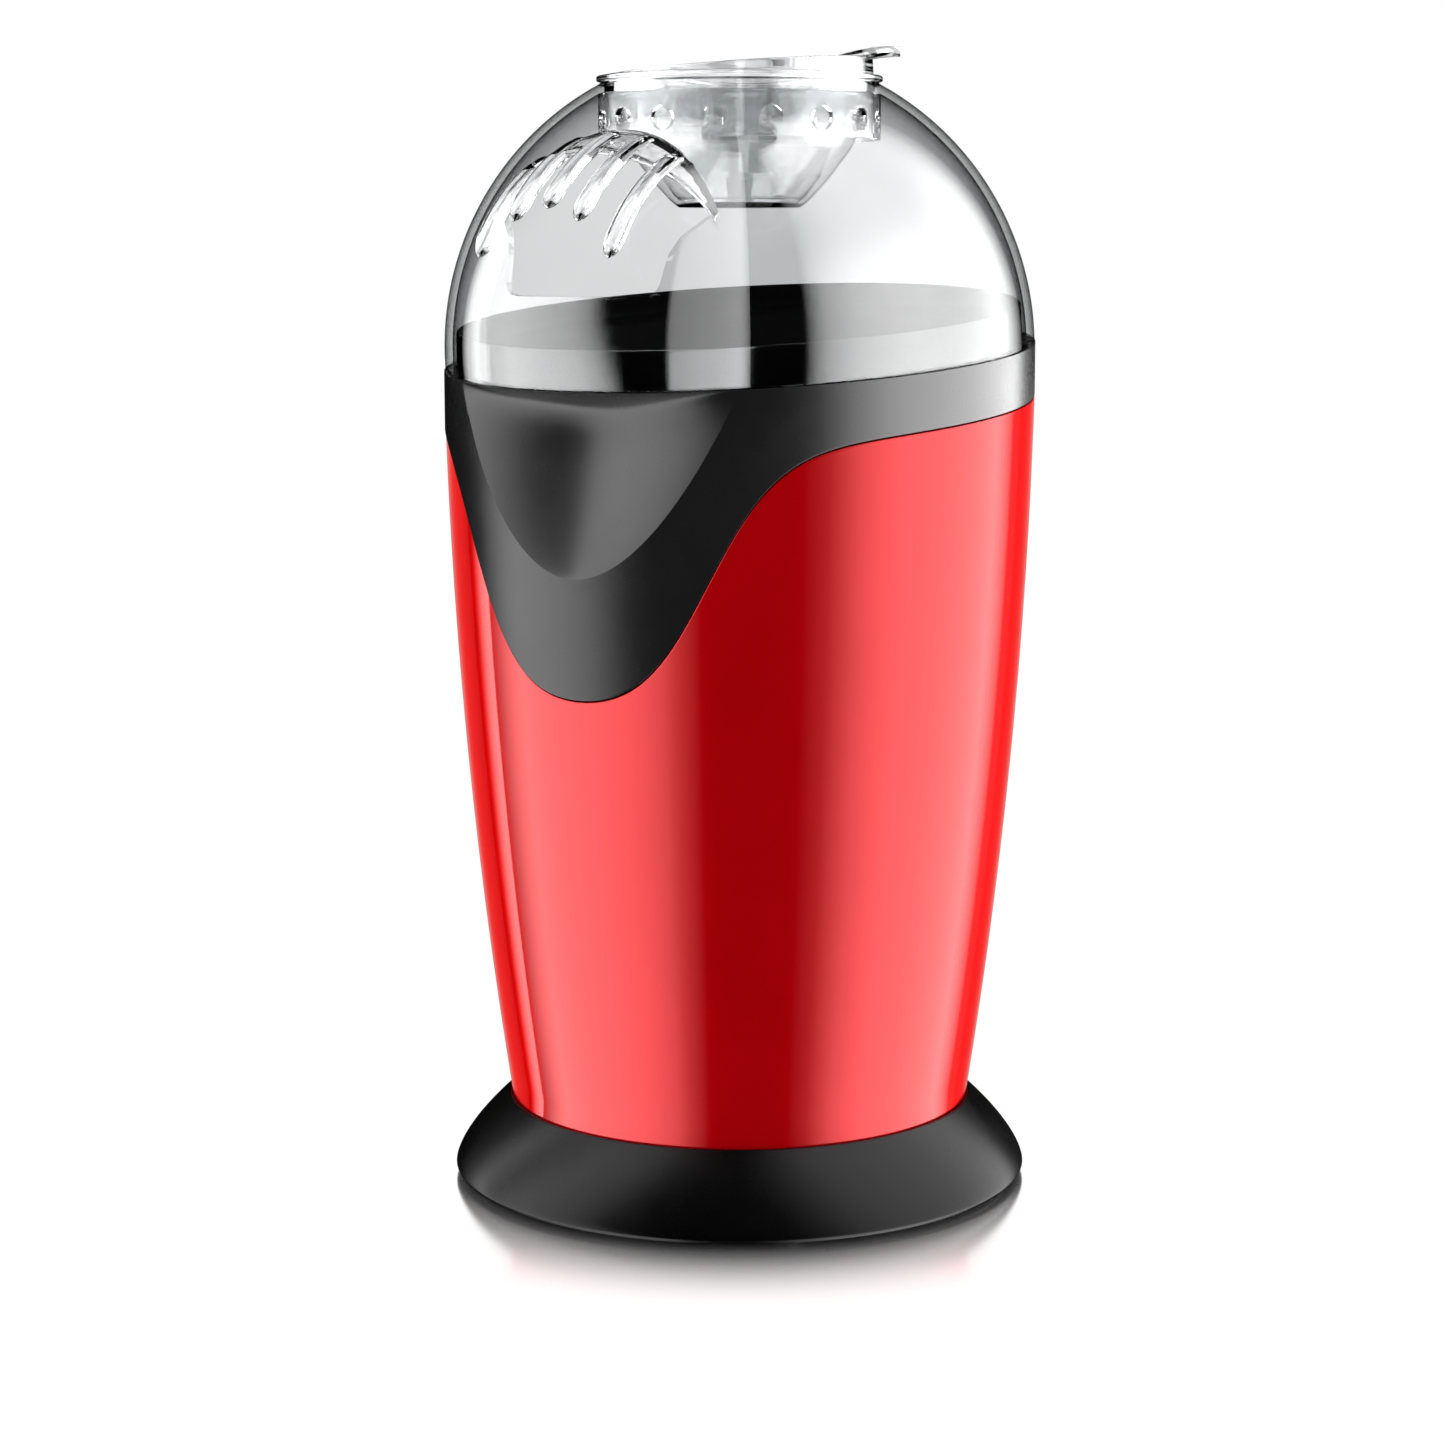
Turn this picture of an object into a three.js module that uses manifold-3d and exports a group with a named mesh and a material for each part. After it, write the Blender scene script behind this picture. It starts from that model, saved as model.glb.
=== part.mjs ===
// Hot-air popcorn maker: a red tapered body on a flared base, a black collar with a pouring scoop,
// a clear dome with a finned spout visor, and a measuring cup that seats in the dome's top.
// Millimetres, +Z up, front toward -Y, origin on the floor under the body's axis.
import * as THREE from 'three';
import { mergeVertices } from 'three/addons/utils/BufferGeometryUtils.js';
import Module from 'manifold-3d';

const wasm = await Module();
wasm.setup();

// ---------------------------------------------------------------- driving dimensions
const GAP = 0.3;                       // clearance kept between touching pieces
const DEGREE = Math.PI / 180;
const TURN = 2 * Math.PI;

const BASE_RADIUS = 82.4;              // widest radius of the flared base
const BASE_WIDEST_Z = 3.0;
const BASE_EDGE_Z = 1.5;               // bottom edge of the skirt, above the floor
const BASE_TOP_Z = 23.3;
const BASE_WALL = 2.6;
const SHELF_TOP_Z = 16.4;              // ring shelf in the base that carries the body shell
const SHELF_THICKNESS = 2.4;
const SHELF_INNER = 55;                // inner radius of that shelf
const PLATE_BOTTOM_Z = 2.2;
const PLATE_THICKNESS = 1.6;
const PLATE_RADIUS = 78.4;
const FOOT_CIRCLE = 64;                // radius on which the feet sit
const FOOT_RADIUS = 7;
const FOOT_STEM_RADIUS = 2.2;          // the stem that plugs into the bottom plate
const BASE_SCREW_CIRCLE = 61;

const BODY_FOOT_RADIUS = 65.9;         // body radius where it leaves the base
const BODY_LOW_Z = 24;
const BODY_HIGH_Z = 215;
const BODY_WALL = 2.4;
const COLLAR_PROUD = 0.5;              // the collar stands this far outside the body's surface
const COLLAR_WALL = 2.8;
const SEAM = 0.8;                      // height left between the body's edge and the collar's

const RIM_Z = 235.5;                   // mean height of the collar's rim
const RIM_TILT = 7.7;                  // the rim is this much lower at the front than at the side
const RIM_RADIUS = 82.9;
const BAND_HEIGHT = 14.9;              // height of the collar's band away from the tongue
const TONGUE_DROP = 66.6;              // how far the tongue hangs below the band
const TONGUE_HALF_ANGLE = 27;          // degrees from the front to half of the tongue's drop
const TONGUE_STEEPNESS = 0.154;        // per degree
const SCOOP_LOW_Z = 178.8;             // lowest point of the scoop's crease
const SCOOP_HALF_ANGLE = 32.5;         // degrees from the front to the crease, at the rim
const SCOOP_FLARE = 1.95;              // how the crease steepens toward the rim
const SCOOP_DEPTH = 16.5;
const SCOOP_ROUNDING = 0.4;            // how round the bottom of its V is, as a share of its half width
const SHELF_INNER_RADIUS = 69.5;       // inner edge of the collar's shelf under the dome
const SHELF_DEPTH = 3;

const HOPPER_WALL_RADIUS = 79.4;
const HOPPER_WALL = 2.4;
const HOPPER_RISE = 11;                // the hopper's wall stands this far above the rim
const HOPPER_BOTTOM_Z = 209;
const THROAT_RADIUS = 43;
const FLANGE_RADIUS = 54.5;            // the clamped flanges of chamber, gasket and heater housing
const CHAMBER_SCREW_CIRCLE = 51.8;
const HOUSING_SCREW_CIRCLE = 51.8;     // the screws between heater housing and fan housing
const HOPPER_SCREW_CIRCLE = 73;        // the screws from the collar's shelf up into the hopper

const DOME_RADIUS = 82.7;
const DOME_CENTRE_Z = 236.8;
const DOME_WALL = 2.2;
const NECK_RADIUS = 39.4;
const NECK_INNER_RADIUS = 37.6;
const NECK_BOTTOM_Z = 294.5;
const NECK_TOP_Z = 310.2;              // the cup's flange rests on this edge
const VENT_RADIUS = 3.3;
const VENT_COUNT = 16;
const VENT_Z = 299.5;

const VISOR_CENTRE_Y = -47;            // the visor is part of an ellipsoid standing in front of the dome
const VISOR_CENTRE_Z = 237;
const VISOR_RADIUS = 58.8;
const VISOR_HALF_WIDTH = 48;
const VISOR_WALL = 2.2;
const VISOR_SPAN = 35;                 // half width of its root on the dome
const MOUTH_LOW_Z = 252.5;             // lower edge of the spout opening
const FIN_TIPS = [[-20.3, 61.2], [-10.1, 52.6], [0, 49.6], [10.1, 52.6], [20.3, 61.2]];
const FIN_HALF_WIDTH = 3;
const FIN_HALF_THICKNESS = 1.5;

const CUP_TAB_ANGLE = 122 * DEGREE;    // the thumb tab's direction, turned from the front toward +X
const CUP_BOTTOM_Z = 276;
const CUP_RIM_Z = 314.6;
const CUP_RIM_TILT = 2.4;
const TOTAL_HEIGHT = 320;

const CHAMBER_RADIUS = 42;
const CHAMBER_WALL = 1.2;
const CHAMBER_BOTTOM_Z = 149;
const SWIRL_SLOTS = 8;
const HEATER_RADIUS = 48;
const HEATER_BOTTOM_Z = 118;
const HEATER_TOP_Z = HOPPER_BOTTOM_Z - 3.8;
const HEATER_FLOOR = 1.4;              // thickness of the heater housing's inner ledge
const LEAD_Z = 130;                    // height at which the coil's leads leave the heater housing
const COIL_RADIUS = 36;
const COIL_TURNS = 3;
const COIL_WIRE_RADIUS = 0.9;

const FAN_HOUSING_RADIUS = 49;
const FAN_HOUSING_BOTTOM_Z = 84;
const FAN_RADIUS = 41.5;
const FAN_BLADES = 8;
const SHAFT_RADIUS = 1.6;
const SHAFT_HOLE_RADIUS = 1.9;
const MOTOR_RADIUS = 18;
const MOTOR_BOTTOM_Z = 40;
const MOTOR_TOP_Z = FAN_HOUSING_BOTTOM_Z - GAP;
const MOTOR_SCREW_X = 12.5;
const BEARING_RADIUS = 5;              // outside of the shaft's two bearings

const SCREW_RADIUS = 1.5;
const SCREW_HOLE_RADIUS = 1.9;
const LARGE_HEAD_HEIGHT = 1.7;         // head height of the larger screws
const SHEET = 1.2;                     // thickness of the sheet metal pieces
const SWITCH_Z = 62;
const GLAND_Z = 8.8;
const GLAND_RADIUS = 3.9;              // the gland's sleeve where it passes through the base
const WIRE_RADIUS = 1.2;
const BOARD_TOP_Z = 33.6;
const ROCKER_PIVOT_Y = -2.5;
const ROCKER_REST_TILT = -8 * DEGREE;

const hopperScrewAngles = [60, 180, 300].map((degrees) => degrees * DEGREE);
const chamberScrewAngles = [30, 150, 270].map((degrees) => degrees * DEGREE);
const housingScrewAngles = [90, 210, 330].map((degrees) => degrees * DEGREE);
const leadAngles = [165, 195].map((degrees) => degrees * DEGREE);
const thermostatAngle = 120 * DEGREE;
const fuseAngle = 140 * DEGREE;

// Routes of the internal wires, each from one terminal to the next.
const WIRE_ROUTES = {
  wire_live: [[6, 51, 14.6], [6, 51, 22], [4, 50, 34], [0, 49.6, 46], [0, 50, 54]],
  wire_neutral: [[-6, 51, 14.6], [-6, 49, 22], [-7, 38, 26], [-8, 24, 27], [-8, 14, 28.6]],
  wire_switched: [[0, 50, 70], [4, 52, 80], [20, 54, 100], [40, 50, 122], [54, 34, 145], [53, 30, 158]],
  wire_fuse: [[48, 33, 163], [46, 40, 170], [38, 44, 174], [33.5, 39.2, 166.6]],
  wire_heater: [[32.6, 38.4, 148], [26, 52, 140], [14, 54, 131], [12, 44.5, 130], [10, 38.5, 130]],
  wire_motor: [[-10, 38.5, 130], [-12, 46, 130], [-16, 56, 124], [-18, 58, 100], [-16, 50, 70],
    [-10, 30, 42], [-9, 13, 36]],
};

const SHELL_STEPS = 32;                // facets round the large shells
const RING_STEPS = 24;
const SMALL_STEPS = 12;

// ---------------------------------------------------------------- geometry helpers
const popper = new THREE.Group();

function addPart(parent, name, geometry, color, roughness, metalness = 0, opacity = 1) {
  const options = { color, roughness, metalness, opacity, transparent: opacity < 1 };
  const mesh = new THREE.Mesh(geometry, new THREE.MeshStandardMaterial(options));
  mesh.name = name;
  parent.add(mesh);
  return mesh;
}

function indexed(vertices, triangles) {
  const geometry = new THREE.BufferGeometry();
  geometry.setAttribute('position', new THREE.Float32BufferAttribute(vertices, 3));
  geometry.setIndex(triangles);
  return geometry;
}

// Turns a closed mesh's faces outward, whichever way its rings were listed.
function facingOut(geometry) {
  const corners = geometry.attributes.position;
  const triangles = Array.from(geometry.index.array);
  let volume = 0;
  for (let i = 0; i < triangles.length; i += 3) {
    const corner = (k) => new THREE.Vector3().fromBufferAttribute(corners, triangles[i + k]);
    const [a, b, c] = [0, 1, 2].map(corner);
    volume += a.dot(b.cross(c));
  }
  if (volume < 0) geometry.setIndex(triangles.reverse());
  return geometry;
}

// Merges equal vertices and drops the triangles that collapse, as at the poles of a lathe.
function weld(geometry) {
  const loose = geometry.clone();
  loose.deleteAttribute('normal');
  loose.deleteAttribute('uv');
  const merged = mergeVertices(loose, 1e-4);
  const source = merged.index.array;
  const kept = [];
  for (let i = 0; i < source.length; i += 3) {
    const [a, b, c] = [source[i], source[i + 1], source[i + 2]];
    if (a !== b && b !== c && c !== a) kept.push(a, b, c);
  }
  merged.setIndex(kept);
  return merged;
}

function toSolid(geometry) {
  const merged = weld(geometry);
  return new wasm.Manifold(new wasm.Mesh({
    numProp: 3,
    vertProperties: new Float32Array(merged.attributes.position.array),
    triVerts: new Uint32Array(merged.index.array),
  }));
}

function toGeometry(solid) {
  const mesh = solid.getMesh();
  return indexed(mesh.vertProperties, Array.from(mesh.triVerts));
}

function cut(geometry, ...tools) {
  const left = tools.reduce((solid, tool) => solid.subtract(toSolid(tool)), toSolid(geometry));
  return toGeometry(left);
}

function join(geometry, ...others) {
  return toGeometry(others.reduce((solid, other) => solid.add(toSolid(other)), toSolid(geometry)));
}

function sectionArea(corners) {
  let area = 0;
  corners.forEach(([r, z], i) => {
    const [nextR, nextZ] = corners[(i + 1) % corners.length];
    area += r * nextZ - nextR * z;
  });
  return area / 2;
}

// A ring whose section, a list of [radius, z] corners, may change with the angle from the front.
function variableRing(sectionAt, steps) {
  const vertices = [];
  const triangles = [];
  const count = sectionAt(0).length;
  for (let i = 0; i < steps; i += 1) {
    const angle = (i * TURN) / steps;
    const corners = sectionAt(angle);
    if (sectionArea(corners) < 0) corners.reverse();
    corners.forEach(([r, z]) => vertices.push(r * Math.sin(angle), -r * Math.cos(angle), z));
    for (let j = 0; j < count; j += 1) {
      const here = i * count + j;
      const above = i * count + ((j + 1) % count);
      const beside = ((i + 1) % steps) * count + j;
      const across = ((i + 1) % steps) * count + ((j + 1) % count);
      triangles.push(here, beside, above, beside, across, above);
    }
  }
  return indexed(vertices, triangles);
}

function ring(corners, steps = RING_STEPS) {
  return variableRing(() => corners.map((corner) => [...corner]), steps);
}

// A solid of revolution; its profile of [radius, z] points runs from the axis at the bottom,
// round the outside, to the axis at the top.
function revolve(profile, steps = SMALL_STEPS) {
  const points = profile.map(([r, z]) => new THREE.Vector2(r, z));
  return facingOut(weld(new THREE.LatheGeometry(points, steps).rotateX(Math.PI / 2)));
}

function rod(radius, bottom, top, steps = SMALL_STEPS) {
  const geometry = new THREE.CylinderGeometry(radius, radius, top - bottom, steps);
  return geometry.rotateX(Math.PI / 2).translate(0, 0, (bottom + top) / 2);
}

function box(x0, x1, y0, y1, z0, z1) {
  const geometry = new THREE.BoxGeometry(x1 - x0, y1 - y0, z1 - z0);
  return geometry.translate((x0 + x1) / 2, (y0 + y1) / 2, (z0 + z1) / 2);
}

// A closed skin through rings of points that all have the same count, with flat ends.
function loft(rings) {
  const count = rings[0].length;
  const triangles = [];
  for (let i = 0; i + 1 < rings.length; i += 1) {
    for (let j = 0; j < count; j += 1) {
      const here = i * count + j;
      const next = i * count + ((j + 1) % count);
      triangles.push(here, here + count, next, next, here + count, next + count);
    }
  }
  const last = (rings.length - 1) * count;
  for (let j = 1; j + 1 < count; j += 1) {
    triangles.push(0, j, j + 1, last, last + j + 1, last + j);
  }
  return facingOut(indexed(rings.flat(2), triangles));
}

// A round wire through hand-placed points.
function wire(points, radius = WIRE_RADIUS, stepLength = 6, sides = 6) {
  const curve = new THREE.CatmullRomCurve3(points.map((p) => new THREE.Vector3(...p)), false, 'centripetal');
  const section = new THREE.Shape();
  for (let i = 0; i < sides; i += 1) {
    const angle = (i * TURN) / sides;
    const [x, y] = [radius * Math.cos(angle), radius * Math.sin(angle)];
    if (i === 0) section.moveTo(x, y);
    else section.lineTo(x, y);
  }
  const steps = Math.ceil(curve.getLength() / stepLength);
  return weld(new THREE.ExtrudeGeometry(section, { steps, extrudePath: curve, bevelEnabled: false }));
}

function spread(first, last, count) {
  return Array.from({ length: count }, (_, i) => first + ((last - first) * i) / (count - 1));
}

// Copies of a round tool, standing on a circle at each of the angles from the front.
function rodsAround(radius, bottom, top, steps, circle, angles) {
  return angles.map((angle) => around(rod(radius, bottom, top, steps), circle, angle));
}

function placeAround(mesh, radius, angle) {
  mesh.position.set(radius * Math.sin(angle), -radius * Math.cos(angle), 0);
  mesh.rotation.z = angle;
}

function around(geometry, radius, angle) {
  return geometry.clone().rotateZ(angle).translate(radius * Math.sin(angle), -radius * Math.cos(angle), 0);
}

// ---------------------------------------------------------------- shared surfaces
function baseRadius(z) {
  const rise = Math.max(0, (z - BASE_WIDEST_Z) / (BODY_LOW_Z - BASE_WIDEST_Z));
  return BASE_RADIUS - (BASE_RADIUS - BODY_FOOT_RADIUS) * rise ** 1.45;
}

function bodyRadius(z) {
  const rise = Math.max(0, (z - BODY_LOW_Z) / (BODY_HIGH_Z - BODY_LOW_Z));
  return BODY_FOOT_RADIUS + 28.8 * rise - 12 * rise * rise;
}

function rimZ(angle) {
  return RIM_Z - RIM_TILT * Math.cos(angle);
}

function degreesFromFront(angle) {
  return Math.abs(Math.atan2(Math.sin(angle), Math.cos(angle))) / DEGREE;
}

// Lower edge of the collar: a level band with a rounded tongue hanging at the front.
function bandZ(angle) {
  const degrees = degreesFromFront(angle);
  const weight = 2 * Math.exp(-TONGUE_HALF_ANGLE * TONGUE_STEEPNESS);
  const tongue = TONGUE_DROP / (1 + weight * (Math.cosh(TONGUE_STEEPNESS * degrees) - 1));
  return rimZ(angle) - BAND_HEIGHT - tongue;
}

function creaseZ(angle) {
  const rise = (degreesFromFront(angle) / SCOOP_HALF_ANGLE) ** SCOOP_FLARE;
  return Math.min(SCOOP_LOW_Z + rise * (rimZ(angle) - SCOOP_LOW_Z), rimZ(angle) - 2.5);
}

// The scoop widens and deepens upward, and closes again just under the rim.
function scoopDepth(angle, z) {
  const share = (z - SCOOP_LOW_Z) / (rimZ(angle) - SCOOP_LOW_Z);
  if (share <= 0 || share >= 1) return 0;
  const across = degreesFromFront(angle) / (SCOOP_HALF_ANGLE * share ** (1 / SCOOP_FLARE));
  if (across >= 1) return 0;
  const valley = Math.hypot(across, SCOOP_ROUNDING) - SCOOP_ROUNDING;
  const side = 1 - valley / (Math.hypot(1, SCOOP_ROUNDING) - SCOOP_ROUNDING);
  return SCOOP_DEPTH * share ** 0.8 * (1 - share ** 10) ** 0.6 * side;
}

function collarRadius(angle, z) {
  const plain = Math.min(RIM_RADIUS, bodyRadius(Math.min(z, BODY_HIGH_Z)) + COLLAR_PROUD);
  return plain - scoopDepth(angle, z);
}

// ---------------------------------------------------------------- base
const screwAngles = [45, 135, 225, 315].map((degrees) => degrees * DEGREE);
const footAngles = [22, 112, 202, 292].map((degrees) => degrees * DEGREE);

function baseSkirt() {
  const outer = [5, 8.5, 12, 15.5, 19].map((z) => [baseRadius(z), z]);
  const skirt = ring([
    [BASE_RADIUS - BASE_WALL - 0.4, BASE_EDGE_Z],
    [BASE_RADIUS - 1, BASE_EDGE_Z],
    [BASE_RADIUS, BASE_WIDEST_Z],
    ...outer,
    [baseRadius(BASE_TOP_Z), BASE_TOP_Z],
    [BODY_FOOT_RADIUS + GAP, BASE_TOP_Z],
    [baseRadius(19.5) - BASE_WALL * 1.25, 19.5],
    [baseRadius(SHELF_TOP_Z) - BASE_WALL * 1.25, SHELF_TOP_Z],
    [SHELF_INNER, SHELF_TOP_Z],
    [SHELF_INNER, SHELF_TOP_Z - SHELF_THICKNESS],
    [baseRadius(SHELF_TOP_Z - SHELF_THICKNESS) - BASE_WALL, SHELF_TOP_Z - SHELF_THICKNESS],
    [BASE_RADIUS - BASE_WALL - 0.4, 6],
  ], SHELL_STEPS);
  const postTop = SHELF_TOP_Z - 0.5;
  const postLow = PLATE_BOTTOM_Z + PLATE_THICKNESS + GAP;
  const posts = rodsAround(4.5, postLow, postTop, 10, BASE_SCREW_CIRCLE, screwAngles);
  const holes = rodsAround(SCREW_HOLE_RADIUS, 0, SHELF_TOP_Z + 1, 8, BASE_SCREW_CIRCLE, screwAngles);
  const glandHole = rod(GLAND_RADIUS + GAP, 60, 90).rotateX(-Math.PI / 2).translate(0, 0, GLAND_Z);
  return cut(join(skirt, ...posts), ...holes, glandHole);
}

function bottomPlate() {
  const top = PLATE_BOTTOM_Z + PLATE_THICKNESS;
  const bottom = PLATE_BOTTOM_Z;
  const plate = ring([[2, bottom], [PLATE_RADIUS, bottom], [PLATE_RADIUS, top], [2, top]], SHELL_STEPS);
  const slots = [];
  for (let row = -3; row <= 3; row += 1) {
    const half = 34 - 4 * Math.abs(row);
    slots.push(box(-half, half, row * 9 - 1.8, row * 9 + 1.8, 0, 6));
  }
  const centre = rod(3, bottom - 1, top + 1, 10);
  const screwHoles = rodsAround(SCREW_HOLE_RADIUS, 0, 6, 8, BASE_SCREW_CIRCLE, screwAngles);
  const footHoles = rodsAround(FOOT_STEM_RADIUS + GAP, 0, 6, 8, FOOT_CIRCLE, footAngles);
  return cut(plate, ...slots, centre, ...screwHoles, ...footHoles);
}

function foot() {
  const top = PLATE_BOTTOM_Z - GAP;
  return revolve([[0, 0], [FOOT_RADIUS - 0.6, 0], [FOOT_RADIUS, 0.5], [FOOT_RADIUS, top],
    [FOOT_STEM_RADIUS, top], [FOOT_STEM_RADIUS, 5.4], [0, 6.2]], 14);
}

// A pan-head screw with its head at the bottom.
function screw(length, headRadius = 3, headHeight = LARGE_HEAD_HEIGHT) {
  return revolve([[0, 0], [headRadius - 0.7, 0], [headRadius, 0.6], [headRadius, headHeight],
    [SCREW_RADIUS, headHeight], [SCREW_RADIUS, length - 1], [0, length]], 6);
}

function addScrews(parent, name, geometry, radius, z, angles) {
  angles.forEach((angle, i) => {
    const mesh = addPart(parent, `${name}_${i + 1}`, geometry.clone(), 0xb8babd, 0.3, 1);
    placeAround(mesh, radius, angle);
    mesh.position.z = z;
  });
}

function addBase() {
  addPart(popper, 'base_skirt', baseSkirt(), 0x17171a, 0.45);
  addPart(popper, 'bottom_plate', bottomPlate(), 0x222225, 0.6);
  footAngles.forEach((angle, i) => {
    placeAround(addPart(popper, `foot_${i + 1}`, foot(), 0x1c1c1e, 0.9), FOOT_CIRCLE, angle);
  });
  const headZ = PLATE_BOTTOM_Z - GAP - LARGE_HEAD_HEIGHT;
  addScrews(popper, 'base_screw', screw(18.4), BASE_SCREW_CIRCLE, headZ, screwAngles);
}

// ---------------------------------------------------------------- body shell, collar and hopper
function bodyShell() {
  const bottom = SHELF_TOP_Z + GAP;
  const shell = variableRing((angle) => {
    const top = bandZ(angle) - SEAM;
    const levels = spread(BODY_LOW_Z, top, 6);
    const outer = levels.map((z) => [bodyRadius(z), z]);
    const inner = levels.map((z) => [bodyRadius(z) - BODY_WALL, z]).reverse();
    return [[SHELF_INNER + 2, bottom], [BODY_FOOT_RADIUS, bottom], ...outer, ...inner,
      [BODY_FOOT_RADIUS - BODY_WALL, bottom + 2.4], [SHELF_INNER + 2, bottom + 2.4]];
  }, SHELL_STEPS);
  const wall = bodyRadius(SWITCH_Z);
  const holes = rodsAround(SCREW_HOLE_RADIUS, 15, 21, 8, BASE_SCREW_CIRCLE, screwAngles);
  return cut(shell, ...holes, box(-6.6, 6.6, wall - 12, wall + 8, SWITCH_Z - 9.9, SWITCH_Z + 9.9));
}

function collar() {
  const shell = variableRing((angle) => {
    const rim = rimZ(angle);
    const band = bandZ(angle);
    const crease = creaseZ(angle);
    const flange = bodyRadius(band) - BODY_WALL - 0.4;
    const lowFlange = bodyRadius(band - 6) - BODY_WALL - 0.4;
    const outerAt = (z) => [collarRadius(angle, z), z];
    const innerAt = (z) => [collarRadius(angle, z) - COLLAR_WALL, z];
    const below = spread(band, crease, 3);
    const scoop = [0.1, 0.35, 0.6, 0.8, 0.93].map((part) => crease + part * (rim - crease));
    const shelfLow = rim - SHELF_DEPTH;
    const innerLevels = spread(shelfLow, Math.min(crease, shelfLow - 1), 4);
    return [
      [lowFlange - 2, band - 6], [lowFlange, band - 6], [flange, band],
      ...below.map(outerAt), ...scoop.map(outerAt),
      [RIM_RADIUS - 0.2, rim], [SHELF_INNER_RADIUS, rim], [SHELF_INNER_RADIUS, shelfLow],
      ...innerLevels.map(innerAt),
      [flange - 2, band + 1],
    ];
  }, SHELL_STEPS);
  const holes = rodsAround(SCREW_HOLE_RADIUS, 215, 246, 8, HOPPER_SCREW_CIRCLE, hopperScrewAngles);
  return cut(shell, ...holes);
}

function hopper() {
  const shell = variableRing((angle) => {
    const rim = rimZ(angle);
    const height = rim + HOPPER_RISE - DOME_CENTRE_Z;
    const domeInside = Math.sqrt((DOME_RADIUS - DOME_WALL) ** 2 - height ** 2);
    const top = Math.min(HOPPER_WALL_RADIUS, domeInside - 0.8);
    return [
      [THROAT_RADIUS, HOPPER_BOTTOM_Z], [FLANGE_RADIUS, HOPPER_BOTTOM_Z],
      [FLANGE_RADIUS, HOPPER_BOTTOM_Z + 3.5], [SHELF_INNER_RADIUS - 0.5, rim - SHELF_DEPTH - 0.5],
      [SHELF_INNER_RADIUS - 0.5, rim + GAP], [HOPPER_WALL_RADIUS, rim + GAP],
      [top, rim + HOPPER_RISE - 0.8], [top - 0.8, rim + HOPPER_RISE],
      [top - HOPPER_WALL, rim + HOPPER_RISE], [top - HOPPER_WALL, rim + 4.6],
      [SHELF_INNER_RADIUS - 2.5, rim + 2.8], [THROAT_RADIUS + 4, HOPPER_BOTTOM_Z + 6],
      [THROAT_RADIUS, HOPPER_BOTTOM_Z + 2],
    ];
  }, SHELL_STEPS);
  const flangeHoles = rodsAround(SCREW_HOLE_RADIUS, 200, 213.5, 8, CHAMBER_SCREW_CIRCLE, chamberScrewAngles);
  const footHoles = hopperScrewAngles.map((angle) => {
    const hole = rod(SCREW_HOLE_RADIUS, 220, rimZ(angle) + 2.6, 8);
    return around(hole, HOPPER_SCREW_CIRCLE, angle);
  });
  return cut(shell, ...flangeHoles, ...footHoles);
}

function addHousing() {
  addPart(popper, 'body_shell', bodyShell(), 0xd11a1c, 0.18);
  addPart(popper, 'collar', collar(), 0x2a2a2d, 0.4);
  addPart(popper, 'hopper', hopper(), 0x151517, 0.4);
  hopperScrewAngles.forEach((angle, i) => {
    const headHeight = 1.5;
    const geometry = screw(6.3, 2.8, headHeight);
    const mesh = addPart(popper, `hopper_screw_${i + 1}`, geometry, 0xb8babd, 0.3, 1);
    placeAround(mesh, HOPPER_SCREW_CIRCLE, angle);
    mesh.position.z = rimZ(angle) - SHELF_DEPTH - GAP - headHeight - 0.5;
  });
}

// ---------------------------------------------------------------- dome with its spout visor
function domeArc(radius, from, to) {
  return spread(from, to, 7).map((t) => [radius * Math.cos(t), DOME_CENTRE_Z + radius * Math.sin(t)]);
}

function domeShell() {
  const top = Math.acos(NECK_RADIUS / DOME_RADIUS);
  return variableRing((angle) => {
    const low = rimZ(angle) + GAP;
    const lowAngle = Math.asin((low - DOME_CENTRE_Z) / DOME_RADIUS);
    const outer = domeArc(DOME_RADIUS, lowAngle, top);
    const insideRadius = DOME_RADIUS - DOME_WALL;
    const insideTop = Math.acos((NECK_RADIUS - 0.1) / insideRadius);
    const insideLow = Math.asin((low - DOME_CENTRE_Z) / insideRadius);
    const inner = domeArc(insideRadius, insideTop, insideLow);
    return [...outer, [NECK_RADIUS - 0.9, NECK_TOP_Z], [NECK_INNER_RADIUS, NECK_TOP_Z],
      [NECK_INNER_RADIUS, NECK_BOTTOM_Z], [NECK_RADIUS - 0.1, NECK_BOTTOM_Z], ...inner];
  }, SHELL_STEPS);
}

function visorArcRadius(x) {
  return VISOR_RADIUS * Math.sqrt(1 - (x / VISOR_HALF_WIDTH) ** 2);
}

// Forward lean from the vertical at which the visor's ellipsoid leaves the dome.
function visorRoot(x) {
  const arc = visorArcRadius(x);
  const reach = -VISOR_CENTRE_Y;
  const y = (arc * arc - (DOME_RADIUS * DOME_RADIUS - x * x) - reach * reach) / (2 * reach);
  return Math.asin((reach - (y + 2 * reach)) / arc);
}

function visorPoint(x, lean, offset) {
  const arc = visorArcRadius(x) + offset;
  return [x, VISOR_CENTRE_Y - arc * Math.sin(lean), VISOR_CENTRE_Z + arc * Math.cos(lean)];
}

function visorBrim() {
  const rings = spread(-VISOR_SPAN, VISOR_SPAN, 11).map((x) => {
    const root = visorRoot(x);
    const width = (12.5 * (1 - (x / VISOR_SPAN) ** 2) + 1) * DEGREE;
    const leans = [root - 3 * DEGREE, root, root + width / 2, root + width];
    const outside = leans.map((lean) => visorPoint(x, lean, VISOR_WALL / 2));
    const inside = leans.map((lean) => visorPoint(x, lean, -VISOR_WALL / 2)).reverse();
    return [...outside, ...inside];
  });
  return loft(rings);
}

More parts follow.
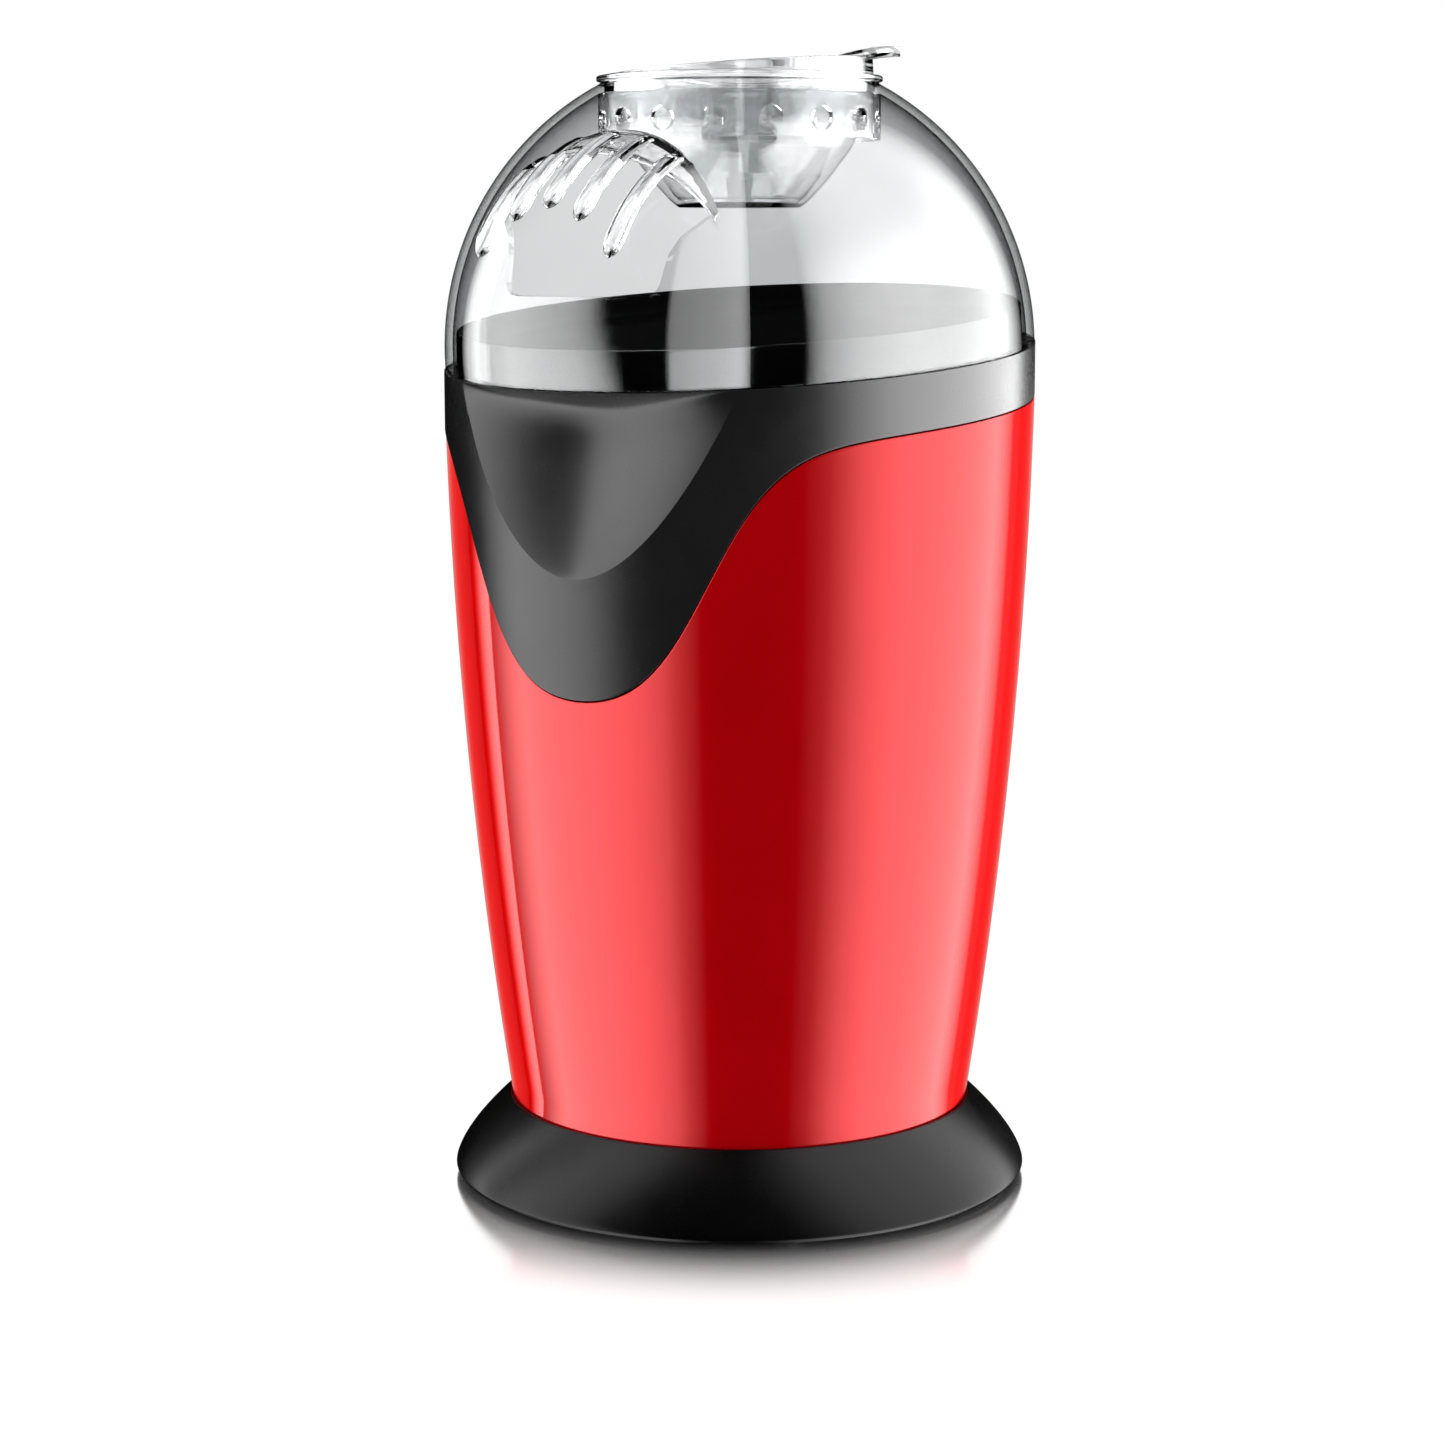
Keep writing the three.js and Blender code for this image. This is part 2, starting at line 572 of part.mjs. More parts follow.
function visorFin(x, tipDegrees) {
  const root = visorRoot(x) + 4 * DEGREE;
  const tip = tipDegrees * DEGREE;
  const rings = spread(0, 1, 6).map((part) => {
    const lean = root + (tip - root) * part;
    const taper = Math.sqrt(Math.max(0.06, 1 - Math.max(0, (part - 0.8) / 0.2) ** 2));
    return spread(0, 1, 7).slice(0, 6).map((step) => {
      const turn = step * TURN;
      const across = FIN_HALF_WIDTH * taper * Math.cos(turn);
      const lift = FIN_HALF_THICKNESS * taper * Math.sin(turn);
      const [, y, z] = visorPoint(x, lean, lift);
      return [x + across, y, z];
    });
  });
  return loft(rings);
}

// The spout opening under the visor, seen from the front and cut through the dome's wall.
function mouthTool() {
  const shape = new THREE.Shape();
  shape.moveTo(-18, MOUTH_LOW_Z);
  shape.lineTo(18, MOUTH_LOW_Z);
  shape.quadraticCurveTo(24, MOUTH_LOW_Z, 24.6, MOUTH_LOW_Z + 5);
  shape.lineTo(25.4, MOUTH_LOW_Z + 11);
  shape.quadraticCurveTo(27, 268, 33.5, 274);
  const points = spread(0.72, Math.PI - 0.72, 12);
  points.forEach((t) => shape.lineTo(45.5 * Math.cos(t), DOME_CENTRE_Z + 56.4 * Math.sin(t)));
  shape.lineTo(-33.5, 274);
  shape.quadraticCurveTo(-27, 268, -25.4, MOUTH_LOW_Z + 11);
  shape.lineTo(-24.6, MOUTH_LOW_Z + 5);
  shape.quadraticCurveTo(-24, MOUTH_LOW_Z, -18, MOUTH_LOW_Z);
  const depth = 60;
  const options = { depth, bevelEnabled: false, curveSegments: 4 };
  return new THREE.ExtrudeGeometry(shape, options).rotateX(Math.PI / 2).translate(0, -48, 0);
}

function domeCover() {
  const vents = spread(0, TURN, VENT_COUNT + 1).slice(1).map((angle) => {
    const hole = rod(VENT_RADIUS, 34, 44, 6).rotateX(Math.PI / 2);
    return hole.translate(0, 0, VENT_Z).rotateZ(angle);
  });
  const open = cut(domeShell(), mouthTool(), ...vents);
  return join(open, visorBrim(), ...FIN_TIPS.map(([x, tip]) => visorFin(x, tip)));
}

function addDome() {
  addPart(popper, 'dome_cover', domeCover(), 0xe6ecee, 0.05, 0, 0.3);
}

// ---------------------------------------------------------------- measuring cup
function cupBowl() {
  const bowl = revolve([
    [0, CUP_BOTTOM_Z], [17, CUP_BOTTOM_Z], [19.5, 278], [25, 284], [31, 292], [34.6, 299], [36, 306],
    [36.5, NECK_TOP_Z + GAP], [39.8, NECK_TOP_Z + GAP], [39.8, NECK_TOP_Z + 1.6], [37.2, NECK_TOP_Z + 2],
    [36.9, CUP_RIM_Z], [35.2, CUP_RIM_Z], [34.7, 308], [32.9, 299.4], [29.4, 293], [23.6, 285.6],
    [18.3, 279.9], [16.4, 278], [0, 278],
  ], 24);
  const position = bowl.attributes.position;
  const start = NECK_TOP_Z + 2.05;
  for (let i = 0; i < position.count; i += 1) {
    const [x, y, z] = [position.getX(i), position.getY(i), position.getZ(i)];
    const toward = (x * Math.sin(CUP_TAB_ANGLE) - y * Math.cos(CUP_TAB_ANGLE)) / 36;
    if (z > start) position.setZ(i, z + CUP_RIM_TILT * toward);
  }
  return bowl;
}

// A leaf-shaped thumb tab that crosses the rim and rises outward.
function cupTab() {
  const [inner, outer, width, thickness] = [20, 44.5, 9.5, 2.2];
  const rings = spread(0, 1, 13).map((part) => {
    const radius = inner + (outer - inner) * part;
    const half = 0.6 + width * Math.sin(Math.PI * Math.min(0.97, 0.06 + 0.9 * part)) ** 0.7;
    const start = CUP_RIM_Z + 1.2;
    const top = start + (TOTAL_HEIGHT - start) * Math.sin((part * Math.PI) / 2) ** 1.3;
    const across = [-1, -0.5, 0.5, 1];
    const upper = across.map((side) => [side * half, -radius, top - 0.8 * (1 - side * side)]);
    const lower = across.map((side) => [side * half * 0.92, -radius, top - thickness]).reverse();
    return [...upper, ...lower];
  });
  return loft(rings).rotateZ(CUP_TAB_ANGLE);
}

function addCup() {
  addPart(popper, 'measuring_cup', join(cupBowl(), cupTab()), 0xeef2f4, 0.05, 0, 0.3);
}

// ---------------------------------------------------------------- popping chamber and heater
function chamberScrewHoles() {
  return rodsAround(SCREW_HOLE_RADIUS, 200, 212, 8, CHAMBER_SCREW_CIRCLE, chamberScrewAngles);
}

function housingScrewHoles() {
  return rodsAround(SCREW_HOLE_RADIUS, 110, 124, 8, HOUSING_SCREW_CIRCLE, housingScrewAngles);
}

function chamber() {
  const inner = CHAMBER_RADIUS - CHAMBER_WALL;
  const top = HOPPER_BOTTOM_Z - 2.3;
  const shell = revolve([
    [0, 152], [10, CHAMBER_BOTTOM_Z], [36, CHAMBER_BOTTOM_Z], [40.5, 151.5], [CHAMBER_RADIUS, 157],
    [CHAMBER_RADIUS, top - 1.2], [FLANGE_RADIUS, top - 1.2], [FLANGE_RADIUS, top], [inner, top],
    [inner, 157], [39.5, 152.6], [35.6, 150.3], [10.2, 150.3], [0, 153.3],
  ], 24);
  const slots = spread(0, TURN, SWIRL_SLOTS + 1).slice(1).map((angle) => {
    const slot = box(-1.1, 1.1, -CHAMBER_RADIUS - 3, -CHAMBER_RADIUS + 5, -6, 6).rotateY(0.6);
    return slot.translate(0, 0, 168).rotateZ(angle);
  });
  return cut(shell, ...slots, ...chamberScrewHoles());
}

function chamberGasket() {
  const bottom = HOPPER_BOTTOM_Z - 2;
  const top = HOPPER_BOTTOM_Z - GAP;
  const band = ring([
    [THROAT_RADIUS, bottom], [FLANGE_RADIUS, bottom], [FLANGE_RADIUS, top], [THROAT_RADIUS, top],
  ]);
  return cut(band, ...chamberScrewHoles());
}

function heaterHousing() {
  const inner = HEATER_RADIUS - SHEET;
  const bottom = HEATER_BOTTOM_Z;
  const top = HEATER_TOP_Z;
  const sleeve = ring([
    [inner - 3.5, bottom], [FLANGE_RADIUS, bottom], [FLANGE_RADIUS, bottom + SHEET],
    [HEATER_RADIUS, bottom + SHEET], [HEATER_RADIUS, top - SHEET], [FLANGE_RADIUS, top - SHEET],
    [FLANGE_RADIUS, top], [inner, top], [inner, bottom + HEATER_FLOOR], [inner - 3.5, bottom + HEATER_FLOOR],
  ]);
  const leads = leadAngles.map((angle) => {
    const hole = rod(WIRE_RADIUS + 0.8, 44, 52, 10).rotateX(Math.PI / 2);
    return hole.translate(0, 0, LEAD_Z).rotateZ(angle);
  });
  return cut(sleeve, ...chamberScrewHoles(), ...housingScrewHoles(), ...leads);
}

// One plate of the mica cross that carries the coil; the two plates are half-lapped.
function micaPlate(slotFromTop) {
  const [bottom, top, earTop] = [HEATER_BOTTOM_Z + HEATER_FLOOR + GAP, 146, HEATER_BOTTOM_Z + 5];
  const [half, ear] = [33.5, HEATER_RADIUS - 1.8];
  const middle = (bottom + top) / 2;
  const sheet = box(-half, half, -0.5, 0.5, bottom, top);
  const plate = join(sheet, box(-ear, ear, -0.5, 0.5, bottom, earTop));
  const [low, high] = slotFromTop ? [middle - GAP / 2, top + 1] : [bottom - 1, middle + GAP / 2];
  return cut(plate, box(-0.8, 0.8, -2, 2, low, high));
}

function heatingCoil() {
  const points = [];
  const steps = COIL_TURNS * 12;
  for (let i = 0; i <= steps; i += 1) {
    const angle = leadAngles[0] + (i / steps) * (COIL_TURNS * TURN + leadAngles[1] - leadAngles[0]);
    points.push([COIL_RADIUS * Math.sin(angle), -COIL_RADIUS * Math.cos(angle), 126 + (18 * i) / steps]);
  }
  return wire(points, COIL_WIRE_RADIUS, 18, 6);
}

function thermostat() {
  const body = revolve([[0, 0], [8, 0], [8, 4.5], [5.5, 5.5], [5.5, 7], [0, 7]], 16);
  const tabs = [-1, 1].map((side) => box(side * 3 - 0.4, side * 3 + 0.4, -2, 2, 6.5, 10));
  return join(body, ...tabs).rotateX(Math.PI / 2).translate(0, -(HEATER_RADIUS + GAP), 160);
}

function thermalFuse() {
  const can = revolve([
    [0, 150], [0.6, 150], [0.6, 152], [2, 152.6], [2, 162.4], [0.6, 163], [0.6, 165], [0, 165],
  ], 8);
  return can.translate(0, -(HEATER_RADIUS + 2.4), 0);
}

function addHeater() {
  addPart(popper, 'popping_chamber', chamber(), 0xc4c6c8, 0.35, 1);
  addPart(popper, 'chamber_gasket', chamberGasket(), 0x8c2b22, 0.8);
  addPart(popper, 'heater_housing', heaterHousing(), 0xa9abad, 0.4, 1);
  const headZ = HEATER_TOP_Z - SHEET - GAP - LARGE_HEAD_HEIGHT;
  addScrews(popper, 'chamber_screw', screw(9, 2.3), CHAMBER_SCREW_CIRCLE, headZ, chamberScrewAngles);
  addPart(popper, 'mica_cross_a', micaPlate(true), 0xb9ad93, 0.7);
  addPart(popper, 'mica_cross_b', micaPlate(false), 0xb9ad93, 0.7).rotation.z = Math.PI / 2;
  addPart(popper, 'heating_coil', heatingCoil(), 0x8d8f92, 0.4, 1);
  addPart(popper, 'thermostat', thermostat(), 0x2f2a26, 0.5).rotation.z = thermostatAngle;
  addPart(popper, 'thermal_fuse', thermalFuse(), 0xc9b27a, 0.4, 0.8).rotation.z = fuseAngle;
}

// ---------------------------------------------------------------- fan and motor
function motorScrewHoles(bottom, top) {
  const hole = rod(SCREW_HOLE_RADIUS, bottom, top, 10);
  return [-1, 1].map((side) => hole.clone().translate(side * MOTOR_SCREW_X, 0, 0));
}

function fanHousing() {
  const [bottom, top] = [FAN_HOUSING_BOTTOM_Z, HEATER_BOTTOM_Z - GAP];
  const inner = FAN_HOUSING_RADIUS - 2;
  const drum = ring([
    [3.5, bottom], [FAN_HOUSING_RADIUS, bottom], [FAN_HOUSING_RADIUS, top - 2], [FLANGE_RADIUS, top - 2],
    [FLANGE_RADIUS, top], [inner, top], [inner, bottom + 2], [3.5, bottom + 2],
  ]);
  const intakes = rodsAround(10, bottom - 1, bottom + 3, 8, 32, spread(0, TURN, 7).slice(1));
  return cut(drum, ...intakes, ...motorScrewHoles(bottom - 1, bottom + 3), ...housingScrewHoles());
}

function impeller() {
  const [bottom, top] = [90, 106];
  const hub = ring([
    [SHAFT_HOLE_RADIUS, bottom], [8, bottom], [9, bottom + 2],
    [9, top - 2], [7, top], [SHAFT_HOLE_RADIUS, top],
  ], 16);
  const blades = spread(0, TURN, FAN_BLADES + 1).slice(1).map((angle) => {
    const blade = box(8, FAN_RADIUS, -7, 7, -0.6, 0.6).rotateX(35 * DEGREE);
    return blade.translate(0, 0, (bottom + top) / 2).rotateZ(angle);
  });
  return join(hub, ...blades);
}

function motorCan() {
  const [bottom, top] = [MOTOR_BOTTOM_Z, MOTOR_TOP_Z];
  const inner = MOTOR_RADIUS - SHEET;
  const can = ring([
    [SHAFT_HOLE_RADIUS, top - 4], [BEARING_RADIUS, top - 4], [BEARING_RADIUS, top - 1.4],
    [inner, top - 1.4], [inner, bottom], [MOTOR_RADIUS, bottom],
    [MOTOR_RADIUS, top - 1], [MOTOR_RADIUS - 1, top], [SHAFT_HOLE_RADIUS, top],
  ], 20);
  return cut(can, ...motorScrewHoles(top - 3, top + 1));
}

function motorEndCap() {
  const top = MOTOR_BOTTOM_Z - GAP;
  const disc = ring([
    [SHAFT_HOLE_RADIUS, top - 4], [BEARING_RADIUS, top - 4], [BEARING_RADIUS, top - 1.8],
    [MOTOR_RADIUS, top - 1.8], [MOTOR_RADIUS, top], [SHAFT_HOLE_RADIUS, top],
  ], 20);
  const posts = [-1, 1].map((side) => rod(1.5, BOARD_TOP_Z + GAP, top - 1, 10).translate(0, side * 12, 0));
  return join(disc, ...posts);
}

// A three-pole laminated core with the shaft's bore through it.
function rotorCore() {
  const outline = new THREE.Shape();
  for (let pole = 0; pole < 3; pole += 1) {
    const middle = (pole * TURN) / 3;
    const corner = (radius, degrees) => {
      const angle = middle + degrees * DEGREE;
      return [radius * Math.cos(angle), radius * Math.sin(angle)];
    };
    if (pole === 0) outline.moveTo(...corner(5, -30));
    else outline.lineTo(...corner(5, -30));
    outline.lineTo(...corner(9.5, -14));
    outline.lineTo(...corner(9.8, -50));
    spread(-50, 50, 7).forEach((degrees) => outline.lineTo(...corner(12, degrees)));
    outline.lineTo(...corner(9.8, 50));
    outline.lineTo(...corner(9.5, 14));
    outline.lineTo(...corner(5, 30));
  }
  const bore = new THREE.Path();
  bore.absarc(0, 0, SHAFT_HOLE_RADIUS, 0, TURN, true);
  outline.holes.push(bore);
  const options = { depth: 22, bevelEnabled: false, curveSegments: 8 };
  return new THREE.ExtrudeGeometry(outline, options).translate(0, 0, 51);
}

function magnet() {
  const outline = new THREE.Shape();
  outline.absarc(0, 0, MOTOR_RADIUS - 1.5, -1.2, 1.2, false);
  outline.absarc(0, 0, 13, 1.2, -1.2, true);
  const options = { depth: 28, bevelEnabled: false, curveSegments: 10 };
  return new THREE.ExtrudeGeometry(outline, options).translate(0, 0, 48);
}

function addFanAndMotor() {
  addPart(popper, 'fan_housing', fanHousing(), 0x2b2b2e, 0.6);
  const headZ = HEATER_BOTTOM_Z - GAP - 2 - GAP - LARGE_HEAD_HEIGHT;
  addScrews(popper, 'housing_screw', screw(7, 2.3), HOUSING_SCREW_CIRCLE, headZ, housingScrewAngles);
  addPart(popper, 'impeller', impeller(), 0xd8d8d4, 0.5);
  addPart(popper, 'motor_shaft', rod(SHAFT_RADIUS, 35.2, 108), 0xcfd1d3, 0.2, 1);
  addPart(popper, 'rotor_core', rotorCore(), 0x77797c, 0.5, 1);
  const commutator = ring([[SHAFT_HOLE_RADIUS, 42], [4, 42], [4, 48], [SHAFT_HOLE_RADIUS, 48]], SMALL_STEPS);
  addPart(popper, 'commutator', commutator, 0xb87333, 0.3, 1);
  addPart(popper, 'motor_can', motorCan(), 0xb4b6b8, 0.35, 1);
  addPart(popper, 'motor_end_cap', motorEndCap(), 0xd9d6cc, 0.6);
  addPart(popper, 'magnet_a', magnet(), 0x3a3a3d, 0.7);
  addPart(popper, 'magnet_b', magnet(), 0x3a3a3d, 0.7).rotation.z = Math.PI;
  [-1, 1].forEach((side, i) => {
    const geometry = screw(5.6, 2.6, 1.6);
    const mesh = addPart(popper, `motor_screw_${i + 1}`, geometry, 0xb8babd, 0.3, 1);
    mesh.rotation.x = Math.PI;
    mesh.position.set(side * MOTOR_SCREW_X, 0, FAN_HOUSING_BOTTOM_Z + 2 + GAP + 1.6);
  });
}

// ---------------------------------------------------------------- electrical pieces
function addRectifier() {
  const [bottom, top] = [BOARD_TOP_Z - 1.6, BOARD_TOP_Z];
  const board = ring([[3, bottom], [16, bottom], [16, top], [3, top]], 16);
  addPart(popper, 'rectifier_board', board, 0x9c7b3f, 0.6);
  const diode = revolve([
    [0, -4.2], [0.4, -4.2], [0.4, -2.6], [1.4, -2.6], [1.4, 2.6], [0.4, 2.6], [0.4, 4.2], [0, 4.2],
  ], 6);
  [[-8, -5], [-8, 5], [8, -5], [8, 5]].forEach(([x, y], i) => {
    const mesh = addPart(popper, `diode_${i + 1}`, diode.clone().rotateX(Math.PI / 2), 0x1a1a1c, 0.4);
    mesh.position.set(x, y, bottom - GAP - 1.4);
  });
}

function switchBody() {
  const flange = box(-8, 8, 0.6, 2.4, -11.8, 11.8);
  const barrel = box(-6.2, 6.2, -14, 1, -9.4, 9.4);
  const tabs = [-6, 6].map((z) => box(-2.4, 2.4, -19, -13, z - 0.4, z + 0.4));
  return cut(join(flange, barrel, ...tabs), box(-5.2, 5.2, -12.4, 3, -8.2, 8.2));
}

function switchRocker() {
  const outline = new THREE.Shape();
  outline.moveTo(-6.8, 0);
  outline.quadraticCurveTo(-6, 4.2, 1, 6.6);
  outline.lineTo(5.6, 7.2);
  outline.quadraticCurveTo(4, 3, 3.8, 0);
  outline.quadraticCurveTo(4, -3, 5.6, -7.2);
  outline.lineTo(1, -6.6);
  outline.quadraticCurveTo(-6, -4.2, -6.8, 0);
  const options = { depth: 9.8, bevelEnabled: false, curveSegments: 6 };
  // The outline's x is the way out of the body and its y is up; the extrusion runs sideways.
  const rocker = new THREE.ExtrudeGeometry(outline, options).translate(0, 0, -4.9);
  return rocker.rotateY(-Math.PI / 2).rotateX(-Math.PI / 2);
}

function addSwitch() {
  const slope = Math.atan(bodyRadius(SWITCH_Z + 0.5) - bodyRadius(SWITCH_Z - 0.5));
  const assembly = new THREE.Group();
  assembly.position.set(0, bodyRadius(SWITCH_Z), SWITCH_Z);
  assembly.rotation.x = -slope;
  popper.add(assembly);
  addPart(assembly, 'switch_body', switchBody(), 0x1b1b1d, 0.5);
  const rocker = addPart(assembly, 'switch_rocker', switchRocker(), 0x2a2a2c, 0.35);
  rocker.position.y = ROCKER_PIVOT_Y;
  rocker.rotation.x = ROCKER_REST_TILT;
}

function cordGland() {
  const profile = [
    [3, 68], [GLAND_RADIUS, 68], [GLAND_RADIUS, 82.9], [6.4, 82.9],
    [6.4, 88], [5.6, 91.5], [4.4, 93.6], [3, 93.6],
  ];
  return ring(profile, 16).rotateX(-Math.PI / 2).translate(0, 0, GLAND_Z);
}

function glandNut() {
  const nut = ring([[2, 70], [5.4, 70], [5.4, 73.5], [2, 73.5]], 6).rotateZ(TURN / 12);
  const bore = rod(GLAND_RADIUS + GAP, 69, 75);
  return cut(nut, bore).rotateX(-Math.PI / 2).translate(0, 0, GLAND_Z);
}

function terminalBlock() {
  const block = box(-11, 11, 42, 54, 4.2, 14);
  const wells = [-6, 6].map((x) => rod(2.2, 9, 16, 10).translate(x, 51, 0));
  return cut(block, ...wells);
}

function addWires() {
  const colors = { wire_live: 0x6b3f22, wire_neutral: 0x2b56a8, wire_switched: 0x6b3f22, wire_fuse: 0xe8e4da,
    wire_heater: 0xe8e4da, wire_motor: 0xb02a22 };
  for (const [name, route] of Object.entries(WIRE_ROUTES)) {
    addPart(popper, name, wire(route), colors[name], 0.6);
  }
}

function addElectrics() {
  addRectifier();
  addSwitch();
  addPart(popper, 'cord_gland', cordGland(), 0x1a1a1c, 0.6);
  addPart(popper, 'gland_lock_nut', glandNut(), 0x1a1a1c, 0.6);
  addPart(popper, 'terminal_block', terminalBlock(), 0xe4e0d4, 0.6);
  addWires();
}

addBase();
addHousing();
addDome();
addCup();
addHeater();
addFanAndMotor();
addElectrics();

export default popper;
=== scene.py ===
# Looks of the popcorn maker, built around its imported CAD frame. Lengths in the shape
# formulas are millimetres and become metres as each mesh is made.
import math

import bmesh
import bpy
import numpy as np
from mathutils import Matrix, Vector


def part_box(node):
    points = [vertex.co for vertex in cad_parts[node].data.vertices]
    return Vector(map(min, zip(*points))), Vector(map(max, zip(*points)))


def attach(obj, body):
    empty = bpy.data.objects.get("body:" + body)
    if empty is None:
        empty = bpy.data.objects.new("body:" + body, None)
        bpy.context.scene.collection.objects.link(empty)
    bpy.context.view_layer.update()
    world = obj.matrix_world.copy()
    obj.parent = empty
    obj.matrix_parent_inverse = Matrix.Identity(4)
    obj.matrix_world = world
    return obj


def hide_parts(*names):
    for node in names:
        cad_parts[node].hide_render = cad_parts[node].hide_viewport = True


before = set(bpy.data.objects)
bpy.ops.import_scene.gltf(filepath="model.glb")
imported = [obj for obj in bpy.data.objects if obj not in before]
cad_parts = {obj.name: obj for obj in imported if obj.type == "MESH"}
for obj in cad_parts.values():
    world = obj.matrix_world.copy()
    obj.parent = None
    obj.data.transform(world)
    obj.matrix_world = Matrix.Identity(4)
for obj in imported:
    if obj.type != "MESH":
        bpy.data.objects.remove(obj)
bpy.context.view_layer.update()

MM = 0.001
DEGREE = math.pi / 180
TURN = 2 * math.pi


def box_mm(node):
    low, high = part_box(node)
    return low / MM, high / MM


# ---------------------------------------------------------------- sizes, from the frame where it holds them
base_low, base_high = box_mm("base_skirt")
collar_high = box_mm("collar")[1]
dome_high = box_mm("dome_cover")[1]
cup_low, cup_high = box_mm("measuring_cup")

BASE_RADIUS = base_high.x
BASE_EDGE_Z = base_low.z
BASE_WIDEST_Z = BASE_EDGE_Z + 1.5
BASE_TOP_Z = base_high.z
BASE_WALL = 2.6
BODY_FOOT_RADIUS = 65.9
BODY_LOW_Z = BASE_TOP_Z + 0.7
BODY_HIGH_Z = 215
BODY_WALL = 2.4
RIM_RADIUS = collar_high.x
RIM_TILT = 7.7
RIM_Z = collar_high.z - RIM_TILT
COLLAR_PROUD = 0.5
COLLAR_WALL = 2.8
BAND_HEIGHT = 14.9
TONGUE_DROP = 66.6
TONGUE_HALF_ANGLE = 27
TONGUE_STEEPNESS = 0.154
SCOOP_LOW_Z = 178.8
SCOOP_HALF_ANGLE = 32.5
SCOOP_FLARE = 1.95
SCOOP_DEPTH = 16.5
SCOOP_ROUNDING = 0.4                   # how blunt the bottom of the scoop is, 0 is a sharp valley
MOUTH_LOW_Z = 252.5
SHELF_INNER_RADIUS = 69.5
SHELF_DEPTH = 3
SEAM = 0.35
HOPPER_RISE = 11
HOPPER_WALL = 2.4
HOPPER_WALL_RADIUS = 79.4
THROAT_RADIUS = 43
DOME_RADIUS = dome_high.x
DOME_WALL = 2.2
DOME_INSIDE = DOME_RADIUS - DOME_WALL
NECK_TOP_Z = dome_high.z
NECK_RADIUS = 39.4
NECK_INNER_RADIUS = 37.6
NECK_BOTTOM_Z = NECK_TOP_Z - 15.7
DOME_CENTRE_Z = NECK_TOP_Z - 73.4
VENT_COUNT = 16
VENT_RADIUS = 3.3
VENT_Z = NECK_TOP_Z - 10.7
VISOR_CENTRE_Y = -47
VISOR_CENTRE_Z = DOME_CENTRE_Z + 0.2
VISOR_RADIUS = 58.8
VISOR_HALF_WIDTH = 48
VISOR_WALL = 2.2
VISOR_SPAN = 35
FIN_TIPS = [(-20.3, 61.2), (-10.1, 52.6), (0, 49.6), (10.1, 52.6), (20.3, 61.2)]
FIN_HALF_WIDTH = 3
FIN_HALF_THICKNESS = 1.5
CUP_BOTTOM_Z = cup_low.z
CUP_RIM_Z = CUP_BOTTOM_Z + 38.6
CUP_RIM_TILT = 2.4
CUP_TAB_ANGLE = 122 * DEGREE
CUP_TOP_Z = cup_high.z


# ---------------------------------------------------------------- mesh helpers
def make_piece(name, vertices, faces, smooth_angle=32):
    """A smooth-shaded mesh object from millimetre vertices, with sharp edges kept."""
    mesh = bpy.data.meshes.new(name)
    mesh.from_pydata((np.asarray(vertices, float) * MM).tolist(), [], faces)
    piece = bpy.data.objects.new(name, mesh)
    bpy.context.scene.collection.objects.link(piece)
    tidy_normals(piece, smooth_angle)
    return piece


def rework(piece, change):
    """Lets change(work) edit the mesh of a piece."""
    work = bmesh.new()
    work.from_mesh(piece.data)
    change(work)
    work.to_mesh(piece.data)
    work.free()


def weld(work):
    bmesh.ops.remove_doubles(work, verts=work.verts, dist=1e-6)
    bmesh.ops.recalc_face_normals(work, faces=work.faces)


def tidy_normals(piece, smooth_angle=32):
    """Welds doubles, faces every shell outward and marks the sharp edges."""
    rework(piece, weld)
    piece.data.shade_smooth()
    piece.data.set_sharp_from_angle(angle=smooth_angle * DEGREE)


def apply_modifier(piece, kind, **settings):
    modifier = piece.modifiers.new(kind, kind)
    for key, value in settings.items():
        setattr(modifier, key, value)
    bpy.context.view_layer.update()
    evaluated = piece.evaluated_get(bpy.context.evaluated_depsgraph_get())
    mesh = bpy.data.meshes.new_from_object(evaluated)
    piece.modifiers.clear()
    piece.data = mesh
    return piece


def combine(piece, tool, operation):
    apply_modifier(piece, "BOOLEAN", operation=operation, object=tool, solver="EXACT")
    bpy.data.objects.remove(tool)


def cut(piece, tool):
    """Cuts a tool piece out of a piece and removes the tool."""
    combine(piece, tool, "DIFFERENCE")


def join(piece, tool):
    """Joins a tool piece to a piece and removes the tool."""
    combine(piece, tool, "UNION")


def bevel(piece, width, segments=3, angle=35):
    return apply_modifier(piece, "BEVEL", width=width * MM, segments=segments, limit_method="ANGLE",
                          angle_limit=angle * DEGREE, harden_normals=False, use_clamp_overlap=True)


def rounded(corners, arc_steps=5):
    """Points of an outline of (u, v, fillet) corners, with an arc in place of each fillet."""
    points = []
    for i, (u, v, fillet) in enumerate(corners):
        here = np.array([u, v], float)
        if fillet <= 0:
            points.append(here)
            continue
        before = np.array(corners[i - 1][:2], float) - here
        after = np.array(corners[(i + 1) % len(corners)][:2], float) - here
        reach_before, reach_after = np.linalg.norm(before), np.linalg.norm(after)
        before, after = before / reach_before, after / reach_after
        half = math.acos(max(-1, min(1, float(before @ after)))) / 2
        reach = min(fillet / math.tan(half), 0.49 * reach_before, 0.49 * reach_after)
        start, end = here + before * reach, here + after * reach
        for t in np.linspace(0, 1, arc_steps):
            points.append((1 - t) ** 2 * start + 2 * t * (1 - t) * here + t ** 2 * end)
    return [tuple(p) for p in points]


